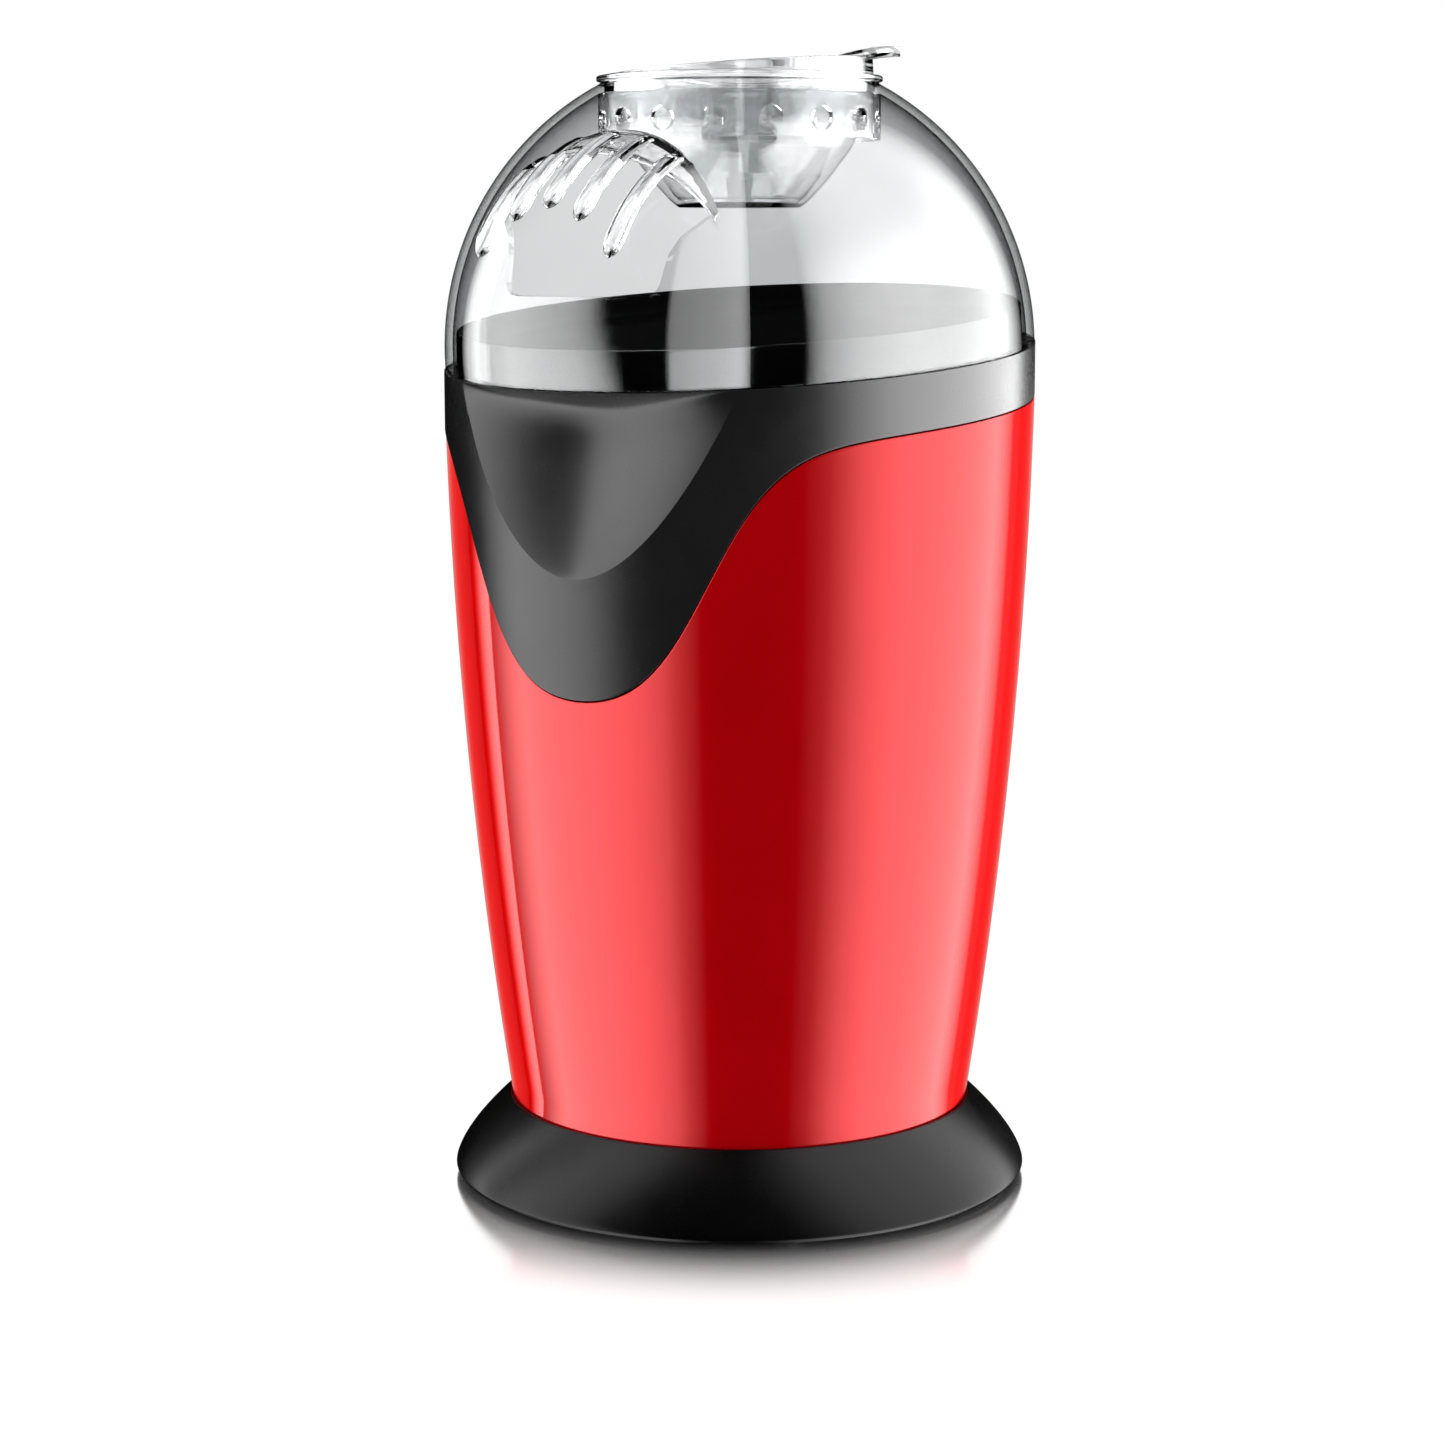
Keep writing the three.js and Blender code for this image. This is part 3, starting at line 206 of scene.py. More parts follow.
def ring_piece(name, section_at, steps=240, smooth_angle=32):
    """A closed ring swept round the axis; section_at(angle) lists (radius, z) corners."""
    sections = [section_at(i * TURN / steps) for i in range(steps)]
    count = len(sections[0])
    vertices = []
    for i, section in enumerate(sections):
        angle = i * TURN / steps
        vertices += [(r * math.sin(angle), -r * math.cos(angle), z) for r, z in section]
    faces = []
    for i in range(steps):
        near, far = i * count, ((i + 1) % steps) * count
        for j in range(count):
            k = (j + 1) % count
            faces.append((near + j, far + j, far + k, near + k))
    return make_piece(name, vertices, faces, smooth_angle)


def revolved_piece(name, profile, steps=96, smooth_angle=32):
    """A solid of revolution whose profile runs from axis to axis."""
    inner = profile[1:-1]
    count = len(inner)
    vertices = []
    for i in range(steps):
        angle = i * TURN / steps
        vertices += [(r * math.sin(angle), -r * math.cos(angle), z) for r, z in inner]
    first = len(vertices)
    vertices += [(0, 0, profile[0][1]), (0, 0, profile[-1][1])]
    faces = []
    for i in range(steps):
        near, far = i * count, ((i + 1) % steps) * count
        faces += [(near + j, far + j, far + j + 1, near + j + 1) for j in range(count - 1)]
        faces.append((first, far, near))
        faces.append((near + count - 1, far + count - 1, first + 1))
    return make_piece(name, vertices, faces, smooth_angle)


def loft_piece(name, rings, smooth_angle=32):
    """A skin through rings of equal count, closed by flat ends."""
    count = len(rings[0])
    vertices = [tuple(p) for ring in rings for p in ring]
    faces = []
    for i in range(len(rings) - 1):
        for j in range(count):
            k = (j + 1) % count
            faces.append((i * count + j, i * count + k, (i + 1) * count + k, (i + 1) * count + j))
    faces.append(tuple(reversed(range(count))))
    last = (len(rings) - 1) * count
    faces.append(tuple(range(last, last + count)))
    return make_piece(name, vertices, faces, smooth_angle)


def prism_piece(name, outline, depth, smooth_angle=32):
    """An outline in the XY plane, extruded up by depth."""
    ends = [[(x, y, z) for x, y in outline] for z in (0, depth)]
    return loft_piece(name, ends, smooth_angle)


def rectangle(half_wide, half_deep, z):
    return [(-half_wide, -half_deep, z), (half_wide, -half_deep, z),
            (half_wide, half_deep, z), (-half_wide, half_deep, z)]


def circle_points(radius, steps):
    angles = [i * TURN / steps for i in range(steps)]
    return [(radius * math.cos(angle), radius * math.sin(angle)) for angle in angles]


def rod_piece(name, radius, bottom, top, steps=48):
    circle = circle_points(radius, steps)
    return loft_piece(name, [[(x, y, z) for x, y in circle] for z in (bottom, top)])


def move(piece, matrix):
    piece.data.transform(matrix)
    return piece


def shift(x, y, z):
    return Matrix.Translation(Vector((x, y, z)) * MM)


def turn(angle, axis="Z"):
    return Matrix.Rotation(angle, 4, axis)


FORWARD = turn(TURN / 4, "X")          # lays a piece that stands along Z so that it points to the front


def finish_piece(piece, material, body="housing"):
    """Rides a finished piece on its body, in place of the CAD node that its name starts with."""
    piece.data.materials.clear()
    piece.data.materials.append(material)
    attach(piece, body)
    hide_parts(piece.name.removesuffix("_fine"))


def finish_part(piece, material, body="housing", smooth_angle=32):
    tidy_normals(piece, smooth_angle)
    finish_piece(piece, material, body)


# ---------------------------------------------------------------- shared surfaces
def base_radius(z):
    rise = max(0, (z - BASE_WIDEST_Z) / (BODY_LOW_Z - BASE_WIDEST_Z))
    return BASE_RADIUS - (BASE_RADIUS - BODY_FOOT_RADIUS) * rise ** 1.45


def body_radius(z):
    rise = max(0, (z - BODY_LOW_Z) / (BODY_HIGH_Z - BODY_LOW_Z))
    return BODY_FOOT_RADIUS + 28.8 * rise - 12 * rise * rise


def rim_z(angle):
    return RIM_Z - RIM_TILT * math.cos(angle)


def from_front(angle):
    return abs(math.atan2(math.sin(angle), math.cos(angle))) / DEGREE


def band_z(angle):
    """Lower edge of the collar: a level band with a rounded tongue hanging at the front."""
    weight = 2 * math.exp(-TONGUE_HALF_ANGLE * TONGUE_STEEPNESS)
    tongue = TONGUE_DROP / (1 + weight * (math.cosh(TONGUE_STEEPNESS * from_front(angle)) - 1))
    return rim_z(angle) - BAND_HEIGHT - tongue


def crease_z(angle):
    """Height of the scoop's edge on the collar's outside."""
    low, rim = SCOOP_LOW_Z, rim_z(angle)
    return min(low + (rim - low) * (from_front(angle) / SCOOP_HALF_ANGLE) ** SCOOP_FLARE, rim - 1)


def scoop_depth(angle, z):
    """The scoop widens and deepens upward, and closes again under the rim."""
    share = (z - SCOOP_LOW_Z) / (rim_z(angle) - SCOOP_LOW_Z)
    if share <= 0 or share >= 1:
        return 0
    across = from_front(angle) / (SCOOP_HALF_ANGLE * share ** (1 / SCOOP_FLARE))
    if across >= 1:
        return 0
    edge = math.hypot(1, SCOOP_ROUNDING) - SCOOP_ROUNDING
    valley = (math.hypot(across, SCOOP_ROUNDING) - SCOOP_ROUNDING) / edge
    return SCOOP_DEPTH * share ** 0.8 * (1 - share ** 10) ** 0.6 * (1 - valley)


def collar_radius(angle, z):
    plain = min(RIM_RADIUS, body_radius(min(z, BODY_HIGH_Z)) + COLLAR_PROUD)
    return plain - scoop_depth(angle, z)


# ---------------------------------------------------------------- materials
NOISE_LOW, NOISE_HIGH = 0.3, 0.7       # the stretch of the noise that carries most of it
SHEET_REFLECTION = 0.036               # what clear plastic reflects when seen straight on


def node_material(name, base, roughness, metallic=0.0):
    """A Principled material and its shader, ready for procedural detail."""
    material = bpy.data.materials.new(name)
    material.use_nodes = True
    shader = material.node_tree.nodes["Principled BSDF"]
    shader.inputs["Base Color"].default_value = (*base, 1)
    shader.inputs["Roughness"].default_value = roughness
    shader.inputs["Metallic"].default_value = metallic
    return material, shader


def bare_material(name):
    """A material with nothing but its output node, and that node."""
    material = bpy.data.materials.new(name)
    material.use_nodes = True
    nodes = material.node_tree.nodes
    nodes.remove(nodes["Principled BSDF"])
    return material, nodes["Material Output"]


def add_node(material, kind, **values):
    """A new shader node. Each value goes on the input of that name, with _ for a space."""
    node = material.node_tree.nodes.new(f"ShaderNode{kind}")
    for name, value in values.items():
        node.inputs[name.replace("_", " ")].default_value = value
    return node


def link(material, source, output, target, socket):
    material.node_tree.links.new(source.outputs[output], target.inputs[socket])


def map_range(material, start, end, low, high):
    """A node that carries values between start and end over to low and high."""
    return add_node(material, "MapRange", From_Min=start, From_Max=end, To_Min=low, To_Max=high)


def mix_shaders(material, share, first, second, output):
    """Shows the first shader where the share node's result is 0 and the second where it is 1."""
    mix = add_node(material, "MixShader")
    link(material, share, "Result", mix, "Fac")
    link(material, first, "BSDF", mix, 1)
    link(material, second, "BSDF", mix, 2)
    link(material, mix, "Shader", output, "Surface")


def noise(material, scale, detail=3, stretch=(1, 1, 1)):
    """A noise node over the object's own metres; stretch scales its axes."""
    place = add_node(material, "TexCoord")
    mapping = add_node(material, "Mapping", Scale=stretch)
    texture = add_node(material, "TexNoise", Scale=scale, Detail=detail)
    link(material, place, "Object", mapping, "Vector")
    link(material, mapping, "Vector", texture, "Vector")
    return texture


def vary_value(material, shader, socket, texture, low, high):
    span = map_range(material, NOISE_LOW, NOISE_HIGH, low, high)
    link(material, texture, "Fac", span, "Value")
    link(material, span, "Result", shader, socket)


def vary_color(material, shader, texture, dark, light, socket="Base Color"):
    ramp = add_node(material, "ValToRGB")
    for element, position, color in zip(ramp.color_ramp.elements, (NOISE_LOW, NOISE_HIGH), (dark, light)):
        element.position = position
        element.color = (*color, 1)
    link(material, texture, "Fac", ramp, "Fac")
    link(material, ramp, "Color", shader, socket)


def vary_by_facing(material, shader, socket, start, end, front, edge):
    """Changes a socket from its front value to its edge value as the surface turns away."""
    weight = add_node(material, "LayerWeight")
    span = map_range(material, start, end, front, edge)
    link(material, weight, "Facing", span, "Value")
    link(material, span, "Result", shader, socket)


def bump(material, shader, texture, strength, distance):
    relief = add_node(material, "Bump", Strength=strength, Distance=distance * MM)
    link(material, texture, "Fac", relief, "Height")
    link(material, relief, "Normal", shader, "Normal")


def plastic(name, dark, light, roughness, grain_scale, grain, variation=25, coat=0.0, gloss=0.5):
    """Moulded plastic: slow colour drift, uneven gloss and a fine moulded grain."""
    material, shader = node_material(name, light, roughness)
    vary_color(material, shader, noise(material, variation), dark, light)
    vary_value(material, shader, "Roughness", noise(material, 60, 4), roughness * 0.88, roughness * 1.12)
    if grain > 0:
        bump(material, shader, noise(material, grain_scale, 2), 0.5, grain)
    shader.inputs["Specular IOR Level"].default_value = gloss
    shader.inputs["Coat Weight"].default_value = coat
    shader.inputs["Coat Roughness"].default_value = 0.06
    return material


def metal(name, dark, light, roughness, stretch, grain=0.01):
    """Worked metal: streaks of colour and gloss along the way it was drawn or spun."""
    material, shader = node_material(name, light, roughness, 1.0)
    streaks = noise(material, 120, 4, stretch)
    vary_color(material, shader, streaks, dark, light)
    vary_value(material, shader, "Roughness", streaks, roughness * 0.75, roughness * 1.25)
    bump(material, shader, streaks, 0.4, grain)
    return material


def clear_plastic(name, tint, roughness):
    """Polished clear plastic with faint flow marks from the mould."""
    material, shader = node_material(name, tint, roughness)
    shader.inputs["Transmission Weight"].default_value = 1.0
    shader.inputs["IOR"].default_value = 1.46
    vary_value(material, shader, "Roughness", noise(material, 40, 3), roughness * 0.5, roughness * 1.5)
    bump(material, shader, noise(material, 22, 1), 0.06, 0.15)
    return material


def clear_sheet(name, dark, light, roughness):
    """Clear plastic as a thin sheet: light goes straight on, and each surface adds its reflection."""
    material, output = bare_material(name)
    straight = add_node(material, "BsdfTransparent")
    mirror = add_node(material, "BsdfGlossy")
    vary_color(material, straight, noise(material, 30, 2), dark, light, "Color")
    vary_value(material, mirror, "Roughness", noise(material, 40, 3), roughness * 0.5, roughness * 1.5)
    bump(material, mirror, noise(material, 22, 1), 0.06, 0.15)
    weight = add_node(material, "LayerWeight")
    steep = add_node(material, "Math")
    steep.operation = "POWER"
    steep.inputs[1].default_value = 5
    share = map_range(material, 0, 1, SHEET_REFLECTION, 1)
    link(material, weight, "Facing", steep, 0)
    link(material, steep, "Value", share, "Value")
    mix_shaders(material, share, straight, mirror, output)
    return material


BLACK, SOFT_BLACK = (0.0012, 0.0012, 0.0013), (0.002, 0.002, 0.0021)
red_gloss = plastic(
    "red_gloss", (0.56, 0.0008, 0.0035), (0.6, 0.0012, 0.0045), 0.22, 500, 0.002, coat=1.0)
red_shader = red_gloss.node_tree.nodes["Principled BSDF"]
red_shader.inputs["Metallic"].default_value = 0.46
red_shader.inputs["Specular IOR Level"].default_value = 0.0
red_shader.inputs["Specular Tint"].default_value = (1.0, 0.15, 0.12, 1)
vary_by_facing(red_gloss, red_shader, "Coat Weight", 0.52, 0.64, 1.0, 0.05)
vary_by_facing(red_gloss, red_shader, "Metallic", 0.52, 0.64, 0.46, 0.9)
collar_satin = plastic(
    "collar_satin", (0.007, 0.007, 0.0075), (0.0095, 0.0095, 0.01), 0.27, 2600, 0.012, gloss=0.56)
hopper_matt = plastic("hopper_matt", BLACK, SOFT_BLACK, 0.6, 2600, 0.008, gloss=0.02)
hopper_polished = plastic("hopper_polished", BLACK, SOFT_BLACK, 0.07, 900, 0.0004, gloss=1.1)
base_satin = plastic(
    "base_satin", (0.001, 0.001, 0.0011), (0.0018, 0.0018, 0.002), 0.28, 2600, 0.012, gloss=0.19)
dark_grained = plastic("dark_grained", (0.012, 0.012, 0.013), (0.018, 0.018, 0.019), 0.5, 1800, 0.03)
rocker_gloss = plastic("rocker_gloss", (0.012, 0.012, 0.012), (0.017, 0.017, 0.017), 0.2, 900, 0.004)
nylon_cream = plastic("nylon_cream", (0.66, 0.62, 0.5), (0.74, 0.7, 0.6), 0.45, 1500, 0.02)
nylon_white = plastic("nylon_white", (0.62, 0.62, 0.58), (0.7, 0.7, 0.66), 0.42, 1500, 0.02)
foot_rubber = plastic("foot_rubber", (0.012, 0.012, 0.012), (0.022, 0.022, 0.022), 0.75, 2400, 0.05)
gasket_silicone = plastic("gasket_silicone", (0.3, 0.035, 0.02), (0.38, 0.05, 0.03), 0.6, 1200, 0.03)
mica_sheet = plastic("mica_sheet", (0.4, 0.33, 0.22), (0.62, 0.55, 0.42), 0.4, 700, 0.04, variation=180)
phenolic = plastic("phenolic", (0.1, 0.05, 0.02), (0.17, 0.09, 0.035), 0.45, 900, 0.02, variation=220)
ferrite = plastic("ferrite", (0.03, 0.03, 0.032), (0.055, 0.055, 0.06), 0.55, 1500, 0.04, variation=400)
sleeve_brown = plastic("sleeve_brown", (0.09, 0.03, 0.012), (0.13, 0.045, 0.02), 0.4, 900, 0.01)
sleeve_blue = plastic("sleeve_blue", (0.015, 0.06, 0.28), (0.022, 0.09, 0.36), 0.4, 900, 0.01)
sleeve_red = plastic("sleeve_red", (0.42, 0.015, 0.012), (0.5, 0.025, 0.02), 0.4, 900, 0.01)
sleeve_white = plastic("sleeve_white", (0.6, 0.58, 0.52), (0.76, 0.74, 0.68), 0.7, 3500, 0.06, variation=900)
aluminium = metal("aluminium", (0.62, 0.63, 0.64), (0.83, 0.84, 0.85), 0.3, (1, 1, 14))
zinc_steel = metal("zinc_steel", (0.5, 0.51, 0.53), (0.72, 0.73, 0.74), 0.34, (1, 1, 5))
screw_steel = metal("screw_steel", (0.45, 0.46, 0.48), (0.68, 0.69, 0.7), 0.28, (4, 4, 4))
ground_steel = metal("ground_steel", (0.5, 0.51, 0.52), (0.66, 0.67, 0.68), 0.22, (1, 1, 30))
coil_wire = metal("coil_wire", (0.16, 0.15, 0.145), (0.38, 0.36, 0.34), 0.45, (3, 3, 3))
fuse_brass = metal("fuse_brass", (0.6, 0.42, 0.18), (0.8, 0.62, 0.32), 0.3, (1, 1, 8))
copper = metal("copper", (0.6, 0.25, 0.12), (0.86, 0.45, 0.27), 0.25, (1, 1, 10))
dome_sheet = clear_sheet("dome_sheet", (0.855, 0.86, 0.863), (0.875, 0.88, 0.882), 0.02)
dome_clear = clear_plastic("dome_clear", (0.72, 0.725, 0.73), 0.012)
cup_clear = clear_plastic("cup_clear", (0.8, 0.805, 0.81), 0.015)


# ---------------------------------------------------------------- base
def degrees(*angles):
    return [angle * DEGREE for angle in angles]


FOOT_ANGLES = degrees(22, 112, 202, 292)
BASE_SCREW_ANGLES = degrees(45, 135, 225, 315)
HOPPER_SCREW_ANGLES = degrees(60, 180, 300)
CHAMBER_SCREW_ANGLES = degrees(30, 150, 270)
HOUSING_SCREW_ANGLES = degrees(90, 210, 330)
MOTOR_SCREW_ANGLES = degrees(270, 90)
FOOT_CIRCLE = 64
BASE_SCREW_CIRCLE = 61
HOPPER_SCREW_CIRCLE = 73
CLAMP_CIRCLE = 51.8                    # of the screws through the heater's flanges
MOTOR_SCREW_CIRCLE = 12.5
FLANGE_RADIUS = 54.5
SCREW_RADIUS = 1.5
SCREW_CORE_RADIUS = 1.22
SCREW_HOLE_RADIUS = 1.9
SHAFT_HOLE_RADIUS = 1.9
THREAD_PITCH = 0.75
SHELF_TOP_Z = 16.4
BASE_SHELF_DEPTH = 2.4
BASE_SHELF_RADIUS = 55
PLATE_RADIUS = 78.4
PLATE_LOW_Z, PLATE_HIGH_Z = 2.2, 3.8
SLOT_HALF_WIDTH = 1.8
GLAND_Z = 8.8
GLAND_RADIUS = 3.9
SWITCH_Z = 62


def around(piece, radius, angle, z=0):
    """Turns a piece made at the axis to the given angle and moves it out from the axis."""
    return move(piece, shift(radius * math.sin(angle), -radius * math.cos(angle), z) @ turn(angle))


def cut_rods(piece, radius, bottom, top, circle, angles, steps=32):
    for angle in angles:
        cut(piece, around(rod_piece("tool", radius, bottom, top, steps), circle, angle))
    return piece


def screw_holes(piece, bottom, top, circle, angles):
    cut_rods(piece, SCREW_HOLE_RADIUS, bottom, top, circle, angles)


def chamber_holes(piece):
    screw_holes(piece, 200, 212, CLAMP_CIRCLE, CHAMBER_SCREW_ANGLES)


def housing_holes(piece):
    screw_holes(piece, 110, 124, CLAMP_CIRCLE, HOUSING_SCREW_ANGLES)


def make_skirt():
    """The flared base with its inner shelf, screw bosses and the hole for the cord gland."""
    heights = np.linspace(BASE_WIDEST_Z + 0.6, BASE_TOP_Z - 0.5, 26)
    outer = [(base_radius(z), z, 0) for z in heights]
    inside = BASE_RADIUS - BASE_WALL - 0.4
    lip_z, shelf_low = 19.5, SHELF_TOP_Z - BASE_SHELF_DEPTH
    section = rounded([
        (inside, BASE_EDGE_Z, 0.3), (BASE_RADIUS - 0.9, BASE_EDGE_Z, 0.6),
        (BASE_RADIUS, BASE_WIDEST_Z - 0.2, 0.8), *outer,
        (base_radius(BASE_TOP_Z), BASE_TOP_Z, 0.4), (BODY_FOOT_RADIUS + 0.25, BASE_TOP_Z, 0.3),
        (base_radius(lip_z) - BASE_WALL * 1.25, lip_z, 0),
        (base_radius(SHELF_TOP_Z) - BASE_WALL * 1.25, SHELF_TOP_Z, 0.6),
        (BASE_SHELF_RADIUS, SHELF_TOP_Z, 0.4), (BASE_SHELF_RADIUS, shelf_low, 0.4),
        (base_radius(shelf_low) - BASE_WALL, shelf_low, 0.8), (inside, 6, 0.5)])
    skirt = ring_piece("base_skirt_fine", lambda angle: section)
    for angle in BASE_SCREW_ANGLES:
        boss = rod_piece("tool", 4.5, 4.1, SHELF_TOP_Z - 0.5, 40)
        join(skirt, around(boss, BASE_SCREW_CIRCLE, angle))
    screw_holes(skirt, 0, SHELF_TOP_Z + 1, BASE_SCREW_CIRCLE, BASE_SCREW_ANGLES)
    gland_hole = rod_piece("tool", GLAND_RADIUS + 0.3, 60, 90)
    cut(skirt, move(gland_hole, shift(0, 0, GLAND_Z) @ turn(-TURN / 4, "X")))
    finish_part(skirt, base_satin)


def slot_outline(row):
    """One round-ended air slot of the bottom plate; the rows get shorter away from the middle."""
    half = 34 - 4 * abs(row)
    ends = [(half - SLOT_HALF_WIDTH, 1), (-half + SLOT_HALF_WIDTH, -1)]
    return [(x + side * SLOT_HALF_WIDTH * math.sin(a), row * 9 - side * SLOT_HALF_WIDTH * math.cos(a))
            for x, side in ends for a in np.linspace(0, math.pi, 9)]


def make_plate():
    section = rounded([(3, PLATE_LOW_Z, 0.2), (PLATE_RADIUS, PLATE_LOW_Z, 0.4),
                       (PLATE_RADIUS, PLATE_HIGH_Z, 0.4), (3, PLATE_HIGH_Z, 0.2)])
    plate = ring_piece("bottom_plate_fine", lambda angle: section, 160)
    for row in range(-3, 4):
        cut(plate, prism_piece("tool", slot_outline(row), 6))
    screw_holes(plate, 0, 6, BASE_SCREW_CIRCLE, BASE_SCREW_ANGLES)
    cut_rods(plate, 2.5, 0, 6, FOOT_CIRCLE, FOOT_ANGLES)
    bevel(plate, 0.15, 2)
    finish_part(plate, dark_grained)


def make_feet():
    """Rubber feet, each with a groove round its sole and a stem in the plate."""
    profile = [(0, 0), *rounded([
        (0.01, 0, 0), (4.6, 0, 0.3), (5, 0.5, 0.3), (5.6, 0.5, 0.2), (6.1, 0, 0.2), (7, 0.1, 0.4),
        (7, 1.9, 0.3), (2.2, 1.9, 0.2), (2.2, 5.2, 0.5), (0.01, 6.2, 0)]), (0, 6.2)]
    for i, angle in enumerate(FOOT_ANGLES):
        foot = around(revolved_piece(f"foot_{i + 1}_fine", profile, 64), FOOT_CIRCLE, angle)
        finish_piece(foot, foot_rubber)


def screw_piece(name, length, head_radius, head_height):
    """A pan-head screw, head down, with a cross recess and a threaded shank."""
    profile = rounded([(0.01, 0, 0), (head_radius, 0, 0.9), (head_radius, head_height, 0.25),
                       (SCREW_RADIUS, head_height, 0.15)])
    z = head_height + 0.6
    while z < length - 1.4:
        profile += [(SCREW_CORE_RADIUS, z), (SCREW_RADIUS, z + 0.3), (SCREW_RADIUS, z + 0.38)]
        z += THREAD_PITCH
    profile += [(1.2, length - 1), (0.01, length)]
    piece = revolved_piece(name, [(0, 0), *profile, (0, length)], 40)
    for quarter in (0, TURN / 4):
        arm = loft_piece("tool", [rectangle(head_radius * 0.62, 0.42, -0.1), rectangle(0.6, 0.28, 1.1)])
        cut(piece, move(arm, turn(quarter)))
    tidy_normals(piece, 40)
    return piece


def make_screws():
    sets = [("base_screw", BASE_SCREW_ANGLES, BASE_SCREW_CIRCLE, 18.4, 3, 1.7),
            ("hopper_screw", HOPPER_SCREW_ANGLES, HOPPER_SCREW_CIRCLE, 6.3, 2.8, 1.5),
            ("chamber_screw", CHAMBER_SCREW_ANGLES, CLAMP_CIRCLE, 9, 2.3, 1.7),
            ("housing_screw", HOUSING_SCREW_ANGLES, CLAMP_CIRCLE, 7, 2.3, 1.7),
            ("motor_screw", MOTOR_SCREW_ANGLES, MOTOR_SCREW_CIRCLE, 5.6, 2.6, 1.6)]
    for kind, angles, circle, length, head_radius, head_height in sets:
        for i, angle in enumerate(angles):
            node = f"{kind}_{i + 1}"
            low, high = box_mm(node)
            piece = screw_piece(f"{node}_fine", length, head_radius, head_height)
            head_up = kind == "motor_screw"
            if head_up:
                move(piece, turn(TURN / 2, "X"))
            around(piece, circle, angle, high.z if head_up else low.z)
            finish_piece(piece, screw_steel)


# ---------------------------------------------------------------- body shell, collar and hopper
def make_body():
    bottom, lip_radius = SHELF_TOP_Z + 0.3, 57

    def section(angle):
        top = band_z(angle) - SEAM
        levels = np.linspace(BODY_LOW_Z, top - 0.8, 30)
        outer = [(body_radius(z), z, 0) for z in levels]
        inner = [(body_radius(z) - BODY_WALL, z, 0) for z in levels[::-3]]
        return rounded([
            (lip_radius, bottom, 0.2), (BODY_FOOT_RADIUS, bottom, 0.3), *outer,
            (body_radius(top), top, 0.5), (body_radius(top) - BODY_WALL, top, 0.3), *inner,
            (BODY_FOOT_RADIUS - BODY_WALL, bottom + 2.4, 0.4), (lip_radius, bottom + 2.4, 0.2)], 4)

    shell = ring_piece("body_shell_fine", section, 288)
    cut(shell, block_at(13.2, 20, 19.8, 0.8, shift(0, body_radius(SWITCH_Z) - 2, SWITCH_Z)))
    screw_holes(shell, 15, 21, BASE_SCREW_CIRCLE, BASE_SCREW_ANGLES)
    finish_part(shell, red_gloss)


def bevelled_block(name, wide, deep, tall, width, segments=4):
    """A block centred on the origin, with rounded edges."""
    ends = [rectangle(wide / 2, deep / 2, z) for z in (-tall / 2, tall / 2)]
    return bevel(loft_piece(name, ends), width, segments)


def block_at(wide, deep, tall, width, place, segments=4):
    """A block to cut or join with, moved to its place."""
    return move(bevelled_block("tool", wide, deep, tall, width, segments), place)


def make_collar():
    def section(angle):
        rim, band, crease = rim_z(angle), band_z(angle), crease_z(angle)
        shelf_low = rim - SHELF_DEPTH
        flange, low_flange = [body_radius(z) - BODY_WALL - 0.4 for z in (band, band - 6)]
        shares = 0.5 - 0.5 * np.cos(np.linspace(0.06, 0.97, 34) * math.pi)
        heights = [*np.linspace(band + 0.7, crease, 16), *(crease + shares * (rim - crease))]
        outside = [(collar_radius(angle, z), z, 0) for z in heights]
        inside = [(collar_radius(angle, z) - COLLAR_WALL, z, 0)
                  for z in np.linspace(shelf_low, min(crease, shelf_low - 1), 12)]
        return rounded([
            (low_flange - 2, band - 6, 0.3), (low_flange, band - 6, 0.4), (flange, band, 0.1),
            (collar_radius(angle, band), band, 0.45), *outside,
            (RIM_RADIUS - 0.1, rim, 0.35), (SHELF_INNER_RADIUS, rim, 0.3),
            (SHELF_INNER_RADIUS, shelf_low, 0.3), *inside, (flange - 2, band + 1, 0.3)], 4)

    shell = ring_piece("collar_fine", section, 480, 24)
    screw_holes(shell, 215, 246, HOPPER_SCREW_CIRCLE, HOPPER_SCREW_ANGLES)
    finish_part(shell, collar_satin, smooth_angle=24)


def make_hopper():
    bottom, foot = box_mm("hopper")[0].z, SHELF_INNER_RADIUS - 0.5

    def section(angle):
        rim = rim_z(angle)
        inside = math.sqrt((DOME_RADIUS - DOME_WALL) ** 2 - (rim + HOPPER_RISE - DOME_CENTRE_Z) ** 2)
        top = min(HOPPER_WALL_RADIUS, inside - 0.8)
        return rounded([
            (THROAT_RADIUS, bottom, 0.4), (FLANGE_RADIUS, bottom, 0.4), (FLANGE_RADIUS, bottom + 3.5, 0.8),
            (foot, rim - SHELF_DEPTH - 0.5, 0.6), (foot, rim + 0.3, 0.3),
            (HOPPER_WALL_RADIUS, rim + 0.3, 0.5), (top, rim + HOPPER_RISE, 0.9),
            (top - HOPPER_WALL, rim + HOPPER_RISE, 0.9), (top - HOPPER_WALL, rim + 4.6, 3),
            (foot - 2, rim + 2.8, 6), (THROAT_RADIUS + 4, bottom + 6, 4),
            (THROAT_RADIUS, bottom + 1.5, 1)], 7)

    shell = ring_piece("hopper_fine", section, 240)
    screw_holes(shell, 200, 213.5, CLAMP_CIRCLE, CHAMBER_SCREW_ANGLES)
    for angle in HOPPER_SCREW_ANGLES:
        screw_holes(shell, 220, rim_z(angle) + 2.6, HOPPER_SCREW_CIRCLE, [angle])
    finish_part(shell, hopper_matt)
    shell.data.materials.append(hopper_polished)
    for face in shell.data.polygons:
        x, y, z = face.center / MM
        outward = (face.normal.x * x + face.normal.y * y) / max(1, math.hypot(x, y))
        if outward > 0.5 and z > rim_z(math.atan2(x, -y)) + 0.3:
            face.material_index = 1


